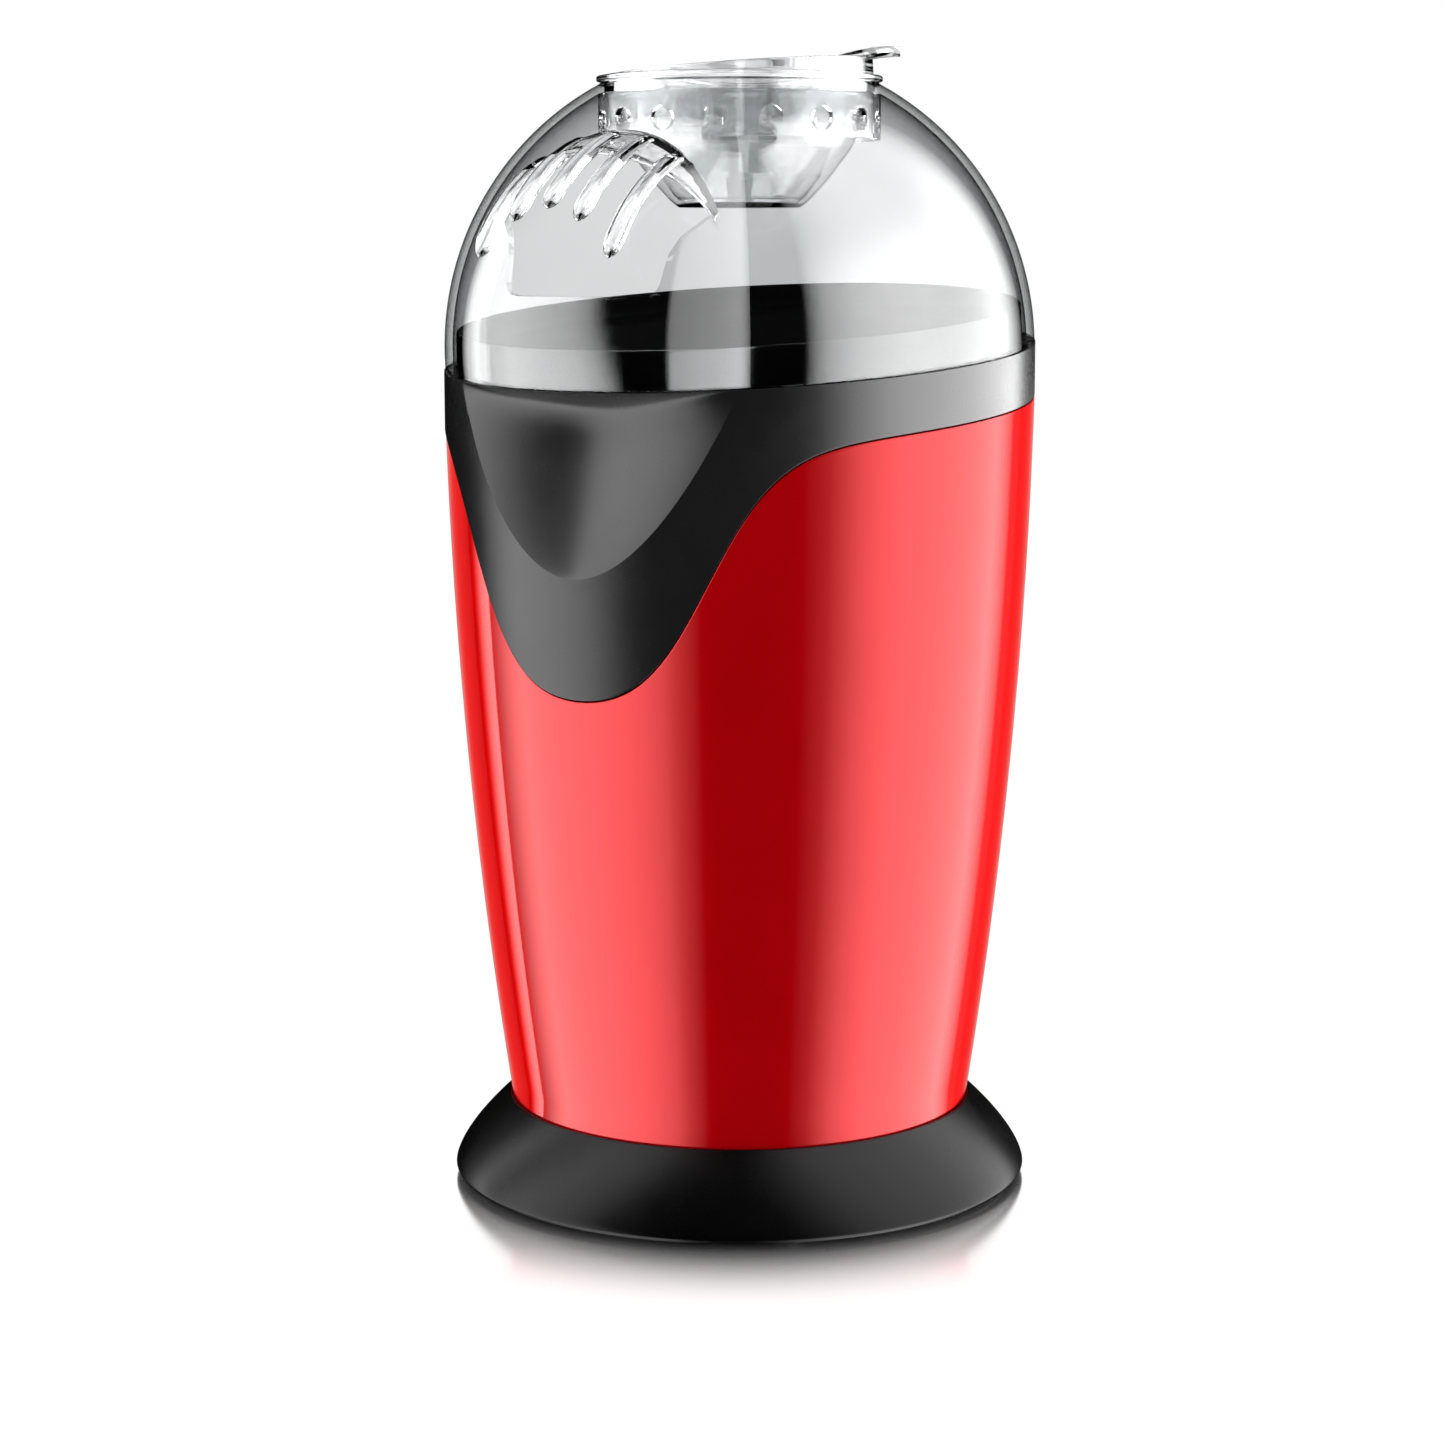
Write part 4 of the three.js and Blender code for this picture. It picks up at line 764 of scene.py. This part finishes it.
# ---------------------------------------------------------------- dome and measuring cup
def visor_arc(x):
    return VISOR_RADIUS * math.sqrt(1 - (x / VISOR_HALF_WIDTH) ** 2)


def visor_root(x):
    """Forward lean from the vertical at which the visor's ellipsoid leaves the dome."""
    arc, reach = visor_arc(x), -VISOR_CENTRE_Y
    y = (arc * arc - (DOME_RADIUS * DOME_RADIUS - x * x) - reach * reach) / (2 * reach)
    return math.asin((reach - (y + 2 * reach)) / arc)


def visor_point(x, lean, offset):
    arc = visor_arc(x) + offset
    return (x, VISOR_CENTRE_Y - arc * math.sin(lean), VISOR_CENTRE_Z + arc * math.cos(lean))


def brim_piece():
    """The visor's brim, a strip with a round edge that is broadest in the middle."""
    half = VISOR_WALL / 2
    rings = []
    for x in np.linspace(-VISOR_SPAN, VISOR_SPAN, 57):
        root = visor_root(x)
        width = (12.5 * (1 - (x / VISOR_SPAN) ** 2) + 1) * DEGREE
        leans = np.linspace(root - 2.6 * DEGREE, root + width, 10)
        edge = [visor_point(x, leans[-1] + math.cos(a) * 0.7 * DEGREE, half * math.sin(a))
                for a in np.linspace(TURN / 4, -TURN / 4, 7)]
        outside = [visor_point(x, lean, half) for lean in leans[:-1]]
        inside = [visor_point(x, lean, -half) for lean in leans[-2::-1]]
        rings.append(outside + edge + inside)
    return loft_piece("tool", rings)


def fin_piece(x, tip_degrees):
    root, tip = visor_root(x) + 2 * DEGREE, tip_degrees * DEGREE
    rings = []
    for share in np.linspace(0, 1, 34):
        lean = root + (tip - root) * share
        taper = math.sqrt(max(0.02, 1 - max(0, (share - 0.84) / 0.16) ** 2))
        ring = []
        for step in range(20):
            angle = step * TURN / 20
            across = FIN_HALF_WIDTH * taper * math.cos(angle)
            _, y, z = visor_point(x, lean, FIN_HALF_THICKNESS * taper * math.sin(angle))
            ring.append((x + across, y, z))
        rings.append(ring)
    return loft_piece("tool", rings, 50)


def mouth_outline():
    """The pouring mouth as seen from the front, in x and z, in steps of at most 1.2 mm."""
    corners = [(0, MOUTH_LOW_Z, 0), (24, MOUTH_LOW_Z, 5), (25.4, MOUTH_LOW_Z + 11, 0), (27.5, 268, 5),
               (33.5, 274, 0)]
    right = rounded(corners, 8)[1:]
    left = [(-x, z) for x, z in reversed(right)]
    arch = [(45.5 * math.cos(t), DOME_CENTRE_Z + 56.4 * math.sin(t))
            for t in np.linspace(0.72, math.pi - 0.72, 60)]
    outline = right + arch + left
    even = []
    for here, after in zip(outline, outline[1:] + outline[:1]):
        steps = max(1, math.ceil(math.dist(here, after) / 1.2))
        even += [tuple(np.array(here) + (np.array(after) - here) * i / steps) for i in range(steps)]
    return even


def dome_arc(radius, start, end):
    """Outline corners on a circle round the dome's centre, between two angles above the level."""
    return [(radius * math.cos(t), DOME_CENTRE_Z + radius * math.sin(t), 0)
            for t in np.linspace(start, end, 52)]


def dome_angle(radius, z):
    return math.asin((z - DOME_CENTRE_Z) / radius)


def dome_section(angle):
    low = rim_z(angle) + 0.3
    outer = dome_arc(DOME_RADIUS, dome_angle(DOME_RADIUS, low + 0.5), math.acos(NECK_RADIUS / DOME_RADIUS))
    inner = dome_arc(DOME_INSIDE, math.acos((NECK_RADIUS - 0.1) / DOME_INSIDE),
                     dome_angle(DOME_INSIDE, low + 0.4))
    edges = [(radius * math.cos(dome_angle(radius, low)), low, 0.3) for radius in (DOME_INSIDE, DOME_RADIUS)]
    return rounded([
        *outer, (NECK_RADIUS - 0.9, NECK_TOP_Z, 0.5), (NECK_INNER_RADIUS, NECK_TOP_Z, 0.4),
        (NECK_INNER_RADIUS, NECK_BOTTOM_Z, 0.5), (NECK_RADIUS - 0.1, NECK_BOTTOM_Z, 0.3), *inner, *edges], 4)


def make_dome():
    dome = ring_piece("dome_cover_fine", dome_section, 256)
    cut(dome, move(prism_piece("tool", mouth_outline(), 60), shift(0, -48, 0) @ FORWARD))
    for i in range(VENT_COUNT):
        place = turn(i * TURN / VENT_COUNT) @ shift(0, 0, VENT_Z) @ FORWARD
        cut(dome, move(rod_piece("tool", VENT_RADIUS, 34, 46, 40), place))
    join(dome, brim_piece())
    for x, tip in FIN_TIPS:
        join(dome, fin_piece(x, tip))
    clear_in_light(dome)
    finish_part(dome, dome_clear, "dome", 30)
    dome.data.materials.append(dome_sheet)
    for face in dome.data.polygons:
        z = face.center.z / MM
        reach = math.dist(face.center / MM, (0, 0, DOME_CENTRE_Z))
        on_wall = min(abs(reach - DOME_RADIUS), abs(reach - DOME_INSIDE)) < 0.05
        if on_wall or (z < VENT_Z - 7 and DOME_INSIDE - 0.1 < reach < DOME_RADIUS + 0.1):
            face.material_index = 1


def clear_in_light(piece):
    """Lets light reach what is inside clear plastic as if it were bare."""
    piece.visible_shadow = False
    piece.visible_diffuse = False


def make_cup():
    outer = [(17, CUP_BOTTOM_Z, 1), (19.5, 278, 1.5), (25, 284, 4), (31, 292, 4), (34.6, 299, 4),
             (36, 306, 4), (36.5, NECK_TOP_Z + 0.3, 0.4),
             (39.8, NECK_TOP_Z + 0.3, 0.4), (39.8, NECK_TOP_Z + 1.6, 0.5),
             (37.2, NECK_TOP_Z + 2, 0.5), (36.9, CUP_RIM_Z, 0.7)]
    inner = [(35.2, CUP_RIM_Z, 0.7), (34.7, 308, 4), (32.9, 299.4, 4), (29.4, 293, 4), (23.6, 285.6, 4),
             (18.3, 279.9, 1.5), (16.4, 278, 1)]
    profile = rounded([(0.01, CUP_BOTTOM_Z, 0), *outer, *inner, (0.01, 278, 0)], 8)
    cup = revolved_piece("measuring_cup_fine", [(0, CUP_BOTTOM_Z), *profile, (0, 278)], 160)
    start = NECK_TOP_Z + 2.05
    for vertex in cup.data.vertices:
        x, y, z = vertex.co / MM
        if z > start:
            toward = (x * math.sin(CUP_TAB_ANGLE) - y * math.cos(CUP_TAB_ANGLE)) / 36
            vertex.co.z += CUP_RIM_TILT * toward * min(1, (z - start) / 0.8) * MM
    join(cup, move(tab_piece(), turn(CUP_TAB_ANGLE)))
    clear_in_light(cup)
    finish_part(cup, cup_clear, "cup", 40)


def tab_piece():
    """A leaf-shaped thumb tab that crosses the cup's rim and rises outward."""
    inner, outer, width, thickness = 20, 44.5, 9.5, 2.2
    rings = []
    for share in np.linspace(0, 1, 44):
        radius = inner + (outer - inner) * share
        half = 0.6 + width * math.sin(math.pi * min(0.97, 0.06 + 0.9 * share)) ** 0.7
        top = CUP_RIM_Z + 1.2 + (CUP_TOP_Z - CUP_RIM_Z - 1.2) * math.sin(share * math.pi / 2) ** 1.3
        sides = np.linspace(-1, 1, 17)
        upper = [(side * half, -radius, top - 0.8 * (1 - side * side)) for side in sides]
        depths = thickness * (1 - 0.25 * sides ** 4) + 0.5 * (1 - sides ** 2)
        lower = [(side * half * 0.94, -radius, top - depth) for side, depth in zip(sides, depths)][::-1]
        rings.append(upper + lower)
    return loft_piece("tool", rings, 40)


# ---------------------------------------------------------------- heater, fan, motor and wiring
def ring_of(node, corners, steps=96, fillet=0.25):
    section = rounded([(*corner, fillet) for corner in corners], 4)
    return ring_piece(f"{node}_fine", lambda angle: section, steps)


def solid_of(node, corners, steps=96, fillet=0.25):
    profile = rounded([(max(r, 0.01), z, fillet if r > 0 else 0) for r, z in corners], 4)
    return revolved_piece(f"{node}_fine", [(0, corners[0][1]), *profile, (0, corners[-1][1])], steps)


def make_chamber():
    top = box_mm("popping_chamber")[1].z
    chamber = solid_of("popping_chamber", [
        (0, 152), (10, 149), (36, 149), (40.5, 151.5), (42, 157), (42, top - 1.2),
        (FLANGE_RADIUS, top - 1.2), (FLANGE_RADIUS, top), (40.8, top), (40.8, 157), (39.5, 152.6),
        (35.6, 150.3), (10.2, 150.3), (0, 153.3)], 144, 0.4)
    for i in range(8):
        place = turn(i * TURN / 8) @ shift(0, -41, 168) @ turn(0.6, "Y")
        cut(chamber, block_at(2.2, 8, 12, 0.9, place, 3))
    chamber_holes(chamber)
    finish_part(chamber, aluminium)


def make_sleeve():
    low, high = box_mm("chamber_gasket")
    gasket = ring_of("chamber_gasket", [
        (THROAT_RADIUS, low.z), (FLANGE_RADIUS, low.z), (FLANGE_RADIUS, high.z), (THROAT_RADIUS, high.z)])
    chamber_holes(gasket)
    finish_part(gasket, gasket_silicone)

    low, high = box_mm("heater_housing")
    sleeve = ring_of("heater_housing", [
        (43.3, low.z), (FLANGE_RADIUS, low.z), (FLANGE_RADIUS, low.z + 1.2), (48, low.z + 1.2),
        (48, high.z - 1.2), (FLANGE_RADIUS, high.z - 1.2), (FLANGE_RADIUS, high.z),
        (46.8, high.z), (46.8, low.z + 1.4), (43.3, low.z + 1.4)])
    chamber_holes(sleeve)
    housing_holes(sleeve)
    for angle in (165 * DEGREE, 195 * DEGREE):
        cut(sleeve, move(rod_piece("tool", 2, 44, 52), turn(angle) @ shift(0, 0, 130) @ FORWARD))
    finish_part(sleeve, zinc_steel)


def make_safety_parts():
    thermostat = solid_of("thermostat", [(0, 0), (8, 0), (8, 4.5), (5.5, 5.5), (5.5, 7), (0, 7)], 64)
    for side in (-1, 1):
        join(thermostat, block_at(0.8, 4, 3.5, 0.15, shift(side * 3, 0, 8.25), 2))
    move(thermostat, turn(120 * DEGREE) @ shift(0, -48.3, 160) @ FORWARD)
    finish_part(thermostat, phenolic)

    fuse = solid_of("thermal_fuse", [
        (0, 150), (0.6, 150), (0.6, 152), (2, 152.6), (2, 162.4), (0.6, 163), (0.6, 165), (0, 165)], 48, 0.15)
    around(fuse, 50.4, 140 * DEGREE)
    finish_part(fuse, fuse_brass)


def make_fan_housing():
    low, high = box_mm("fan_housing")
    drum = ring_of("fan_housing", [
        (3.5, low.z), (49, low.z), (49, high.z - 2), (FLANGE_RADIUS, high.z - 2), (FLANGE_RADIUS, high.z),
        (47, high.z), (47, low.z + 2), (3.5, low.z + 2)], 128)
    cut_rods(drum, 10, low.z - 1, low.z + 3, 32, [i * TURN / 6 for i in range(6)], 48)
    screw_holes(drum, low.z - 1, low.z + 3, MOTOR_SCREW_CIRCLE, MOTOR_SCREW_ANGLES)
    housing_holes(drum)
    finish_part(drum, dark_grained)


def make_motor_frame():
    low, high = box_mm("motor_can")
    can = ring_of("motor_can", [
        (SHAFT_HOLE_RADIUS, high.z - 4), (5, high.z - 4), (5, high.z - 1.4), (16.8, high.z - 1.4),
        (16.8, low.z), (18, low.z), (18, high.z - 1), (17, high.z), (SHAFT_HOLE_RADIUS, high.z)])
    screw_holes(can, high.z - 3, high.z + 1, MOTOR_SCREW_CIRCLE, MOTOR_SCREW_ANGLES)
    finish_part(can, zinc_steel)

    low, high = box_mm("motor_end_cap")
    cap = ring_of("motor_end_cap", [
        (SHAFT_HOLE_RADIUS, high.z - 4), (5, high.z - 4), (5, high.z - 1.8), (18, high.z - 1.8),
        (18, high.z), (SHAFT_HOLE_RADIUS, high.z)])
    for angle in (0, TURN / 2):
        join(cap, around(rod_piece("tool", 1.5, low.z, high.z - 1), 12, angle))
    finish_part(cap, nylon_cream)

    for node, pole in (("magnet_a", 0), ("magnet_b", math.pi)):
        low, high = box_mm(node)
        angles = np.linspace(-1.2, 1.2, 40)
        outline = [(16.5 * math.cos(a), 16.5 * math.sin(a)) for a in angles]
        outline += [(13 * math.cos(a), 13 * math.sin(a)) for a in angles[::-1]]
        magnet = prism_piece(f"{node}_fine", outline, high.z - low.z)
        move(magnet, turn(pole) @ shift(0, 0, low.z))
        finish_part(bevel(magnet, 0.3, 2, 50), ferrite)


def make_rotor():
    low, high = box_mm("commutator")
    commutator = ring_of("commutator", [
        (SHAFT_HOLE_RADIUS, low.z), (4, low.z), (4, high.z), (SHAFT_HOLE_RADIUS, high.z)], 60)
    for i in range(3):
        place = turn(i * TURN / 3) @ shift(0, -4, low.z + 3.5)
        cut(commutator, block_at(0.4, 2, 5, 0.05, place, 1))
    finish_part(commutator, copper, "fan")

    low, high = box_mm("motor_shaft")
    shaft = solid_of("motor_shaft", [(0, low.z), (1.6, low.z), (1.6, high.z), (0, high.z)], 48, 0.3)
    finish_piece(shaft, ground_steel, "fan")

    low, high = box_mm("rotor_core")
    outline = []
    for pole in range(3):
        middle = pole * TURN / 3
        corners = [(5, -30), (9.5, -14), (9.8, -50), *[(12, d) for d in np.linspace(-50, 50, 25)],
                   (9.8, 50), (9.5, 14), (5, 30)]
        outline += [(r * math.cos(middle + d * DEGREE), r * math.sin(middle + d * DEGREE))
                    for r, d in corners]
    core = move(prism_piece("rotor_core_fine", outline, high.z - low.z), shift(0, 0, low.z))
    cut(core, rod_piece("tool", SHAFT_HOLE_RADIUS, low.z - 1, high.z + 1))
    bevel(core, 0.15, 2, 40)
    finish_part(core, ground_steel, "fan")


def make_impeller():
    hub_low, hub_high = 90, 106
    fan = ring_of("impeller", [
        (SHAFT_HOLE_RADIUS, hub_low), (8, hub_low), (9, hub_low + 2), (9, hub_high - 2), (7, hub_high),
        (SHAFT_HOLE_RADIUS, hub_high)], 72)
    for i in range(8):
        blade = move(bevelled_block("tool", 33.5, 14, 1.2, 0.5, 3), shift(24.75, 0, 0))
        move(blade, turn(i * TURN / 8) @ shift(0, 0, (hub_low + hub_high) / 2) @ turn(35 * DEGREE, "X"))
        join(fan, blade)
    finish_part(fan, nylon_white, "fan")


def make_rectifier():
    low, high = box_mm("rectifier_board")
    board = ring_of("rectifier_board", [(3, low.z), (16, low.z), (16, high.z), (3, high.z)], 96, 0.15)
    finish_part(board, phenolic)
    for i, (x, y) in enumerate([(-8, -5), (-8, 5), (8, -5), (8, 5)]):
        low, high = box_mm(f"diode_{i + 1}")
        diode = solid_of(f"diode_{i + 1}", [
            (0, -4.2), (0.4, -4.2), (0.4, -2.6), (1.4, -2.6), (1.4, 2.6), (0.4, 2.6),
            (0.4, 4.2), (0, 4.2)], 36, 0.12)
        move(diode, shift(x, y, (low.z + high.z) / 2) @ FORWARD)
        finish_part(diode, dark_grained)


def make_switch():
    slope = math.atan(body_radius(SWITCH_Z + 0.5) - body_radius(SWITCH_Z - 0.5))
    seat = shift(0, body_radius(SWITCH_Z), SWITCH_Z) @ turn(-slope, "X")
    switch = move(bevelled_block("switch_body_fine", 16, 1.8, 23.6, 0.7), shift(0, 1.5, 0))
    join(switch, block_at(12.4, 15, 18.8, 0.4, shift(0, -6.5, 0)))
    for z in (-6, 6):
        join(switch, block_at(4.8, 6, 0.8, 0.15, shift(0, -16, z), 2))
    cut(switch, block_at(10.4, 15.4, 16.4, 0.3, shift(0, -4.7, 0)))
    move(switch, seat)
    finish_part(switch, dark_grained)

    corners = [(-6.8, 0, 4), (-4.5, 4.9, 3), (1, 6.6, 1), (5.6, 7.2, 0.6), (3.8, 0, 12), (5.6, -7.2, 0.6),
               (1, -6.6, 1), (-4.5, -4.9, 3)]
    rocker = prism_piece("switch_rocker_fine", rounded(corners, 10), 9.8)
    move(rocker, shift(0, 0, -4.9))
    bevel(rocker, 0.4, 3, 50)
    # The outline's x is the way out of the body and its y is up; the extrusion runs sideways.
    upright = turn(-8 * DEGREE, "X") @ turn(-TURN / 4, "X") @ turn(-TURN / 4, "Y")
    move(rocker, seat @ shift(0, -2.5, 0) @ upright)
    finish_part(rocker, rocker_gloss, "rocker")


def make_gland():
    along_y = shift(0, 0, GLAND_Z) @ turn(-TURN / 4, "X")
    gland = ring_of("cord_gland", [
        (3, 68), (3.9, 68), (3.9, 82.9), (6.4, 82.9), (6.4, 88), (5.6, 91.5), (4.4, 93.6),
        (3, 93.6)], 72, 0.4)
    finish_part(move(gland, along_y), dark_grained)
    nut = ring_of("gland_lock_nut", [(4.2, 70), (5.4, 70), (5.4, 73.5), (4.2, 73.5)], 6, 0.2)
    move(nut, turn(TURN / 12))
    finish_part(move(bevel(nut, 0.2, 2), along_y), dark_grained)


def make_terminals():
    low, high = box_mm("terminal_block")
    size, middle = high - low, (high + low) / 2
    terminals = move(bevelled_block("terminal_block_fine", size.x, size.y, size.z, 0.8), shift(*middle))
    for x in (-6, 6):
        cut(terminals, move(rod_piece("tool", 2.2, 9, 16), shift(x, 51, 0)))
    finish_part(terminals, nylon_cream)


def merge_flat(work):
    bmesh.ops.dissolve_limit(work, angle_limit=0.5 * DEGREE, verts=work.verts, edges=work.edges)


def crease_ends(work):
    """Keeps a wire's flat ends crisp when it is subdivided."""
    crease = work.edges.layers.float.new("crease_edge")
    for face in work.faces:
        if len(face.verts) > 4:
            for edge in face.edges:
                edge[crease] = 1


def refined_copy(node):
    """A copy of a CAD node's mesh, its flat stretches merged into whole faces."""
    piece = bpy.data.objects.new(f"{node}_fine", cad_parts[node].data.copy())
    bpy.context.scene.collection.objects.link(piece)
    tidy_normals(piece, 40)
    rework(piece, merge_flat)
    return piece


def make_wires():
    rows = [("wire_live", "wire_brown", sleeve_brown), ("wire_neutral", "wire_blue", sleeve_blue),
            ("wire_switched", "wire_brown", sleeve_brown), ("wire_fuse", "wire_white", sleeve_white),
            ("wire_heater", "wire_white", sleeve_white), ("wire_motor", "wire_red", sleeve_red),
            ("heating_coil", "coil_wire", coil_wire)]
    for node, slot, material in rows:
        wire = refined_copy(node)
        rework(wire, crease_ends)
        apply_modifier(wire, "SUBSURF", levels=2, render_levels=2)
        finish_part(wire, material)


def make_mica():
    for node in ("mica_cross_a", "mica_cross_b"):
        finish_part(bevel(refined_copy(node), 0.12, 2), mica_sheet)


# ---------------------------------------------------------------- camera, light and floor
CAMERA_AZIMUTH = 32.4 * DEGREE         # turned from the front toward +X
CAMERA_DISTANCE = 0.906
CAMERA_HEIGHT = 0.268
CAMERA_PITCH = 8.64 * DEGREE
LAMP_MIDDLE_Z = 0.16
MIRROR_FULL, MIRROR_GONE = 0.075, 0.128   # metres from the axis where the floor's mirror fades
CLEAR_PIECES = ["dome_cover_fine", "measuring_cup_fine"]


def place_camera():
    lens = bpy.data.cameras.new("camera")
    lens.lens = 79.7
    lens.sensor_width = 36
    lens.shift_x = -0.0118
    lens.clip_start, lens.clip_end = 0.05, 60
    camera = bpy.data.objects.new("camera", lens)
    bpy.context.scene.collection.objects.link(camera)
    x, y = CAMERA_DISTANCE * math.sin(CAMERA_AZIMUTH), -CAMERA_DISTANCE * math.cos(CAMERA_AZIMUTH)
    camera.location = (x, y, CAMERA_HEIGHT)
    camera.rotation_euler = (TURN / 4 - CAMERA_PITCH, 0, CAMERA_AZIMUTH)
    bpy.context.scene.camera = camera


def glow_material(name, strength):
    """Gives off light by the mesh's glow attribute and is otherwise clear."""
    material, output = bare_material(name)
    glow = add_node(material, "Attribute")
    glow.attribute_name = "glow"
    scale = add_node(material, "Math")
    scale.operation = "MULTIPLY"
    scale.inputs[1].default_value = strength
    emission = add_node(material, "Emission")
    clear = add_node(material, "BsdfTransparent")
    both = add_node(material, "AddShader")
    link(material, glow, "Fac", scale, 0)
    link(material, scale, "Value", emission, "Strength")
    link(material, emission, "Emission", both, 0)
    link(material, clear, "BSDF", both, 1)
    link(material, both, "Shader", output, "Surface")
    return material


def smooth_step(low, high, value):
    share = max(0, min(1, (value - low) / (high - low)))
    return share * share * (3 - 2 * share)


def hide_lamp(lamp):
    """Leaves a glowing object to reflections and to what shows through clear plastic."""
    lamp.visible_camera = False
    lamp.visible_diffuse = False
    lamp.visible_shadow = False


def light_only(lamp, targets):
    group = bpy.data.collections.new(f"{lamp.name}_targets")
    for target in targets:
        group.objects.link(bpy.data.objects[target])
    lamp.light_linking.receiver_collection = group


def softbox(name, profile, strength, radius=3, lights=None, edge_lean=0, high_share=1):
    """A curved light panel. profile lists (degrees from the camera, glow).

    edge_lean turns the glow's edges toward the left above eye level, by so many degrees, and
    high_share is how much of the glow is left near the top.
    """
    known = np.array(profile, float)
    columns = np.arange(known[0, 0], known[-1, 0] + 0.1, 2)
    rows = np.linspace(-78, 80, 24)
    vertices, glow = [], []
    for height in rows:
        lean = edge_lean * smooth_step(-12, 20, height)
        fade = 1 - (1 - high_share) * smooth_step(22, 46, height)
        places = np.where(known[:, 0] > -90, known[:, 0] - lean, known[:, 0])
        flat, rise = radius * math.cos(height * DEGREE), radius * math.sin(height * DEGREE)
        for degree in columns:
            angle = CAMERA_AZIMUTH + degree * DEGREE
            vertices.append((flat * math.sin(angle), -flat * math.cos(angle), rise + LAMP_MIDDLE_Z))
            glow.append(fade * float(np.interp(degree, places, known[:, 1])))
    count = len(columns)
    corners = [i * count + j for i in range(len(rows) - 1) for j in range(count - 1)]
    mesh = bpy.data.meshes.new(name)
    mesh.from_pydata(vertices, [], [(k, k + 1, k + count + 1, k + count) for k in corners])
    mesh.attributes.new("glow", "FLOAT", "POINT").data.foreach_set("value", glow)
    mesh.materials.append(glow_material(name, strength))
    panel = bpy.data.objects.new(name, mesh)
    bpy.context.scene.collection.objects.link(panel)
    hide_lamp(panel)
    if lights:
        light_only(panel, lights)


def make_floor():
    """A white floor that mirrors the object near its base and is plain white further out."""
    material, shader = node_material("floor_white", (0.4, 0.4, 0.4), 0.9)
    shader.inputs["Emission Color"].default_value = (1, 1, 1, 1)
    shader.inputs["Emission Strength"].default_value = 0.68
    shader.inputs["Specular IOR Level"].default_value = 0.0
    vary_value(material, shader, "Roughness", noise(material, 3), 0.85, 0.95)
    mirror = add_node(material, "BsdfGlossy", Color=(1, 1, 1, 1), Roughness=0.16)
    place = add_node(material, "TexCoord")
    distance = add_node(material, "VectorMath")
    distance.operation = "LENGTH"
    fade = map_range(material, MIRROR_FULL, MIRROR_GONE, 1, 0)
    fade.interpolation_type = "SMOOTHSTEP"
    link(material, place, "Object", distance, 0)
    link(material, distance, "Value", fade, "Value")
    mix_shaders(material, fade, shader, mirror, material.node_tree.nodes["Material Output"])
    floor = make_piece("floor", [(x, y, 0) for x, y in circle_points(3500, 96)], [tuple(range(96))])
    floor.data.materials.append(material)
    floor.visible_glossy = False


def make_surround():
    """A white shell that only the floor's mirror sees."""
    bpy.ops.mesh.primitive_uv_sphere_add(segments=32, ring_count=16, radius=12)
    shell = bpy.context.object
    shell.name = "surround"
    material, output = bare_material("surround")
    emission = add_node(material, "Emission", Strength=1.1)
    link(material, emission, "Emission", output, "Surface")
    shell.data.materials.append(material)
    shell.visible_transmission = False
    hide_lamp(shell)
    light_only(shell, ["floor"])


def light_world():
    world = bpy.data.worlds.new("studio")
    bpy.context.scene.world = world
    world.use_nodes = True
    background = world.node_tree.nodes["Background"]
    background.inputs["Color"].default_value = (1, 1, 1, 1)
    background.inputs["Strength"].default_value = 1.0
    world.cycles_visibility.glossy = False


def light_sides():
    """Broad panels left and right, and what the body and collar need of their own."""
    body, wide = ["body_shell_fine"], ["body_shell_fine", "base_skirt_fine", "hopper_fine"] + CLEAR_PIECES
    softbox("softbox_left", [(-118, 0), (-98, 1.05), (-75, 1), (-62, 0.85), (-54, 0.5), (-45, 0)], 3.1,
            edge_lean=9)
    softbox("softbox_left_rim", [(-134, 0), (-130, 0.15), (-124, 0.95), (-118, 1), (-98, 0)], 3.1,
            lights=wide)
    softbox("softbox_right", [(24, 0), (34, 0.12), (48, 0.58), (64, 0.9), (90, 1), (130, 1), (136, 0.6),
                              (140, 0)], 3.1)
    softbox("softbox_edge_left", [(-174, 0), (-168, 0.8), (-150, 1), (-132, 1), (-120, 0)], 1.3, 3.2, body)
    softbox("softbox_edge_right", [(126, 0), (136, 1), (150, 1), (168, 0.8), (174, 0)], 1.3, 3.2, body)
    softbox("softbox_body", [(-75, 0), (-62, 0.07), (-54, 0.35), (-50, 0.53), (-45, 0.74), (-38, 0.64),
                             (-31, 0.5), (-25, 0.25), (-15, 0)], 3.1, 3.2, body)
    softbox("softbox_collar", [(28, 0), (40, 0.35), (64, 1), (90, 1), (130, 1), (140, 0)], 4.5, 3.3,
            ["collar_fine"])


def light_dome():
    """Panels for the stripes in the dome and the cup."""
    softbox("softbox_dome", [(-28, 0), (-26, 0.6), (-10, 0.8), (0, 1), (3, 0.7), (5, 0)], 6, 3.2,
            CLEAR_PIECES + ["hopper_fine"])
    softbox("softbox_dome_right", [(25, 0), (28, 0.3), (34, 0.72), (43, 0.9), (53, 1), (63, 1.05), (74, 1.1),
                                   (90, 1.0), (118, 0.8), (136, 0)], 9.5, 3.2, CLEAR_PIECES, high_share=0.42)
    softbox("softbox_dome_left", [(-134, 0), (-128, 0.8), (-99, 1), (-74, 0.9), (-63, 0.75), (-53, 0.55),
                                  (-45, 0)], 6.2, 3.2, CLEAR_PIECES, edge_lean=9, high_share=0.7)


make_skirt()
make_plate()
make_feet()
make_body()
make_collar()
make_hopper()
make_dome()
make_cup()
make_screws()
make_chamber()
make_sleeve()
make_safety_parts()
make_fan_housing()
make_motor_frame()
make_rotor()
make_impeller()
make_rectifier()
make_switch()
make_gland()
make_terminals()
make_wires()
make_mica()
place_camera()
make_floor()
make_surround()
light_world()
light_sides()
light_dome()
bpy.context.scene.view_settings.view_transform = "Standard"
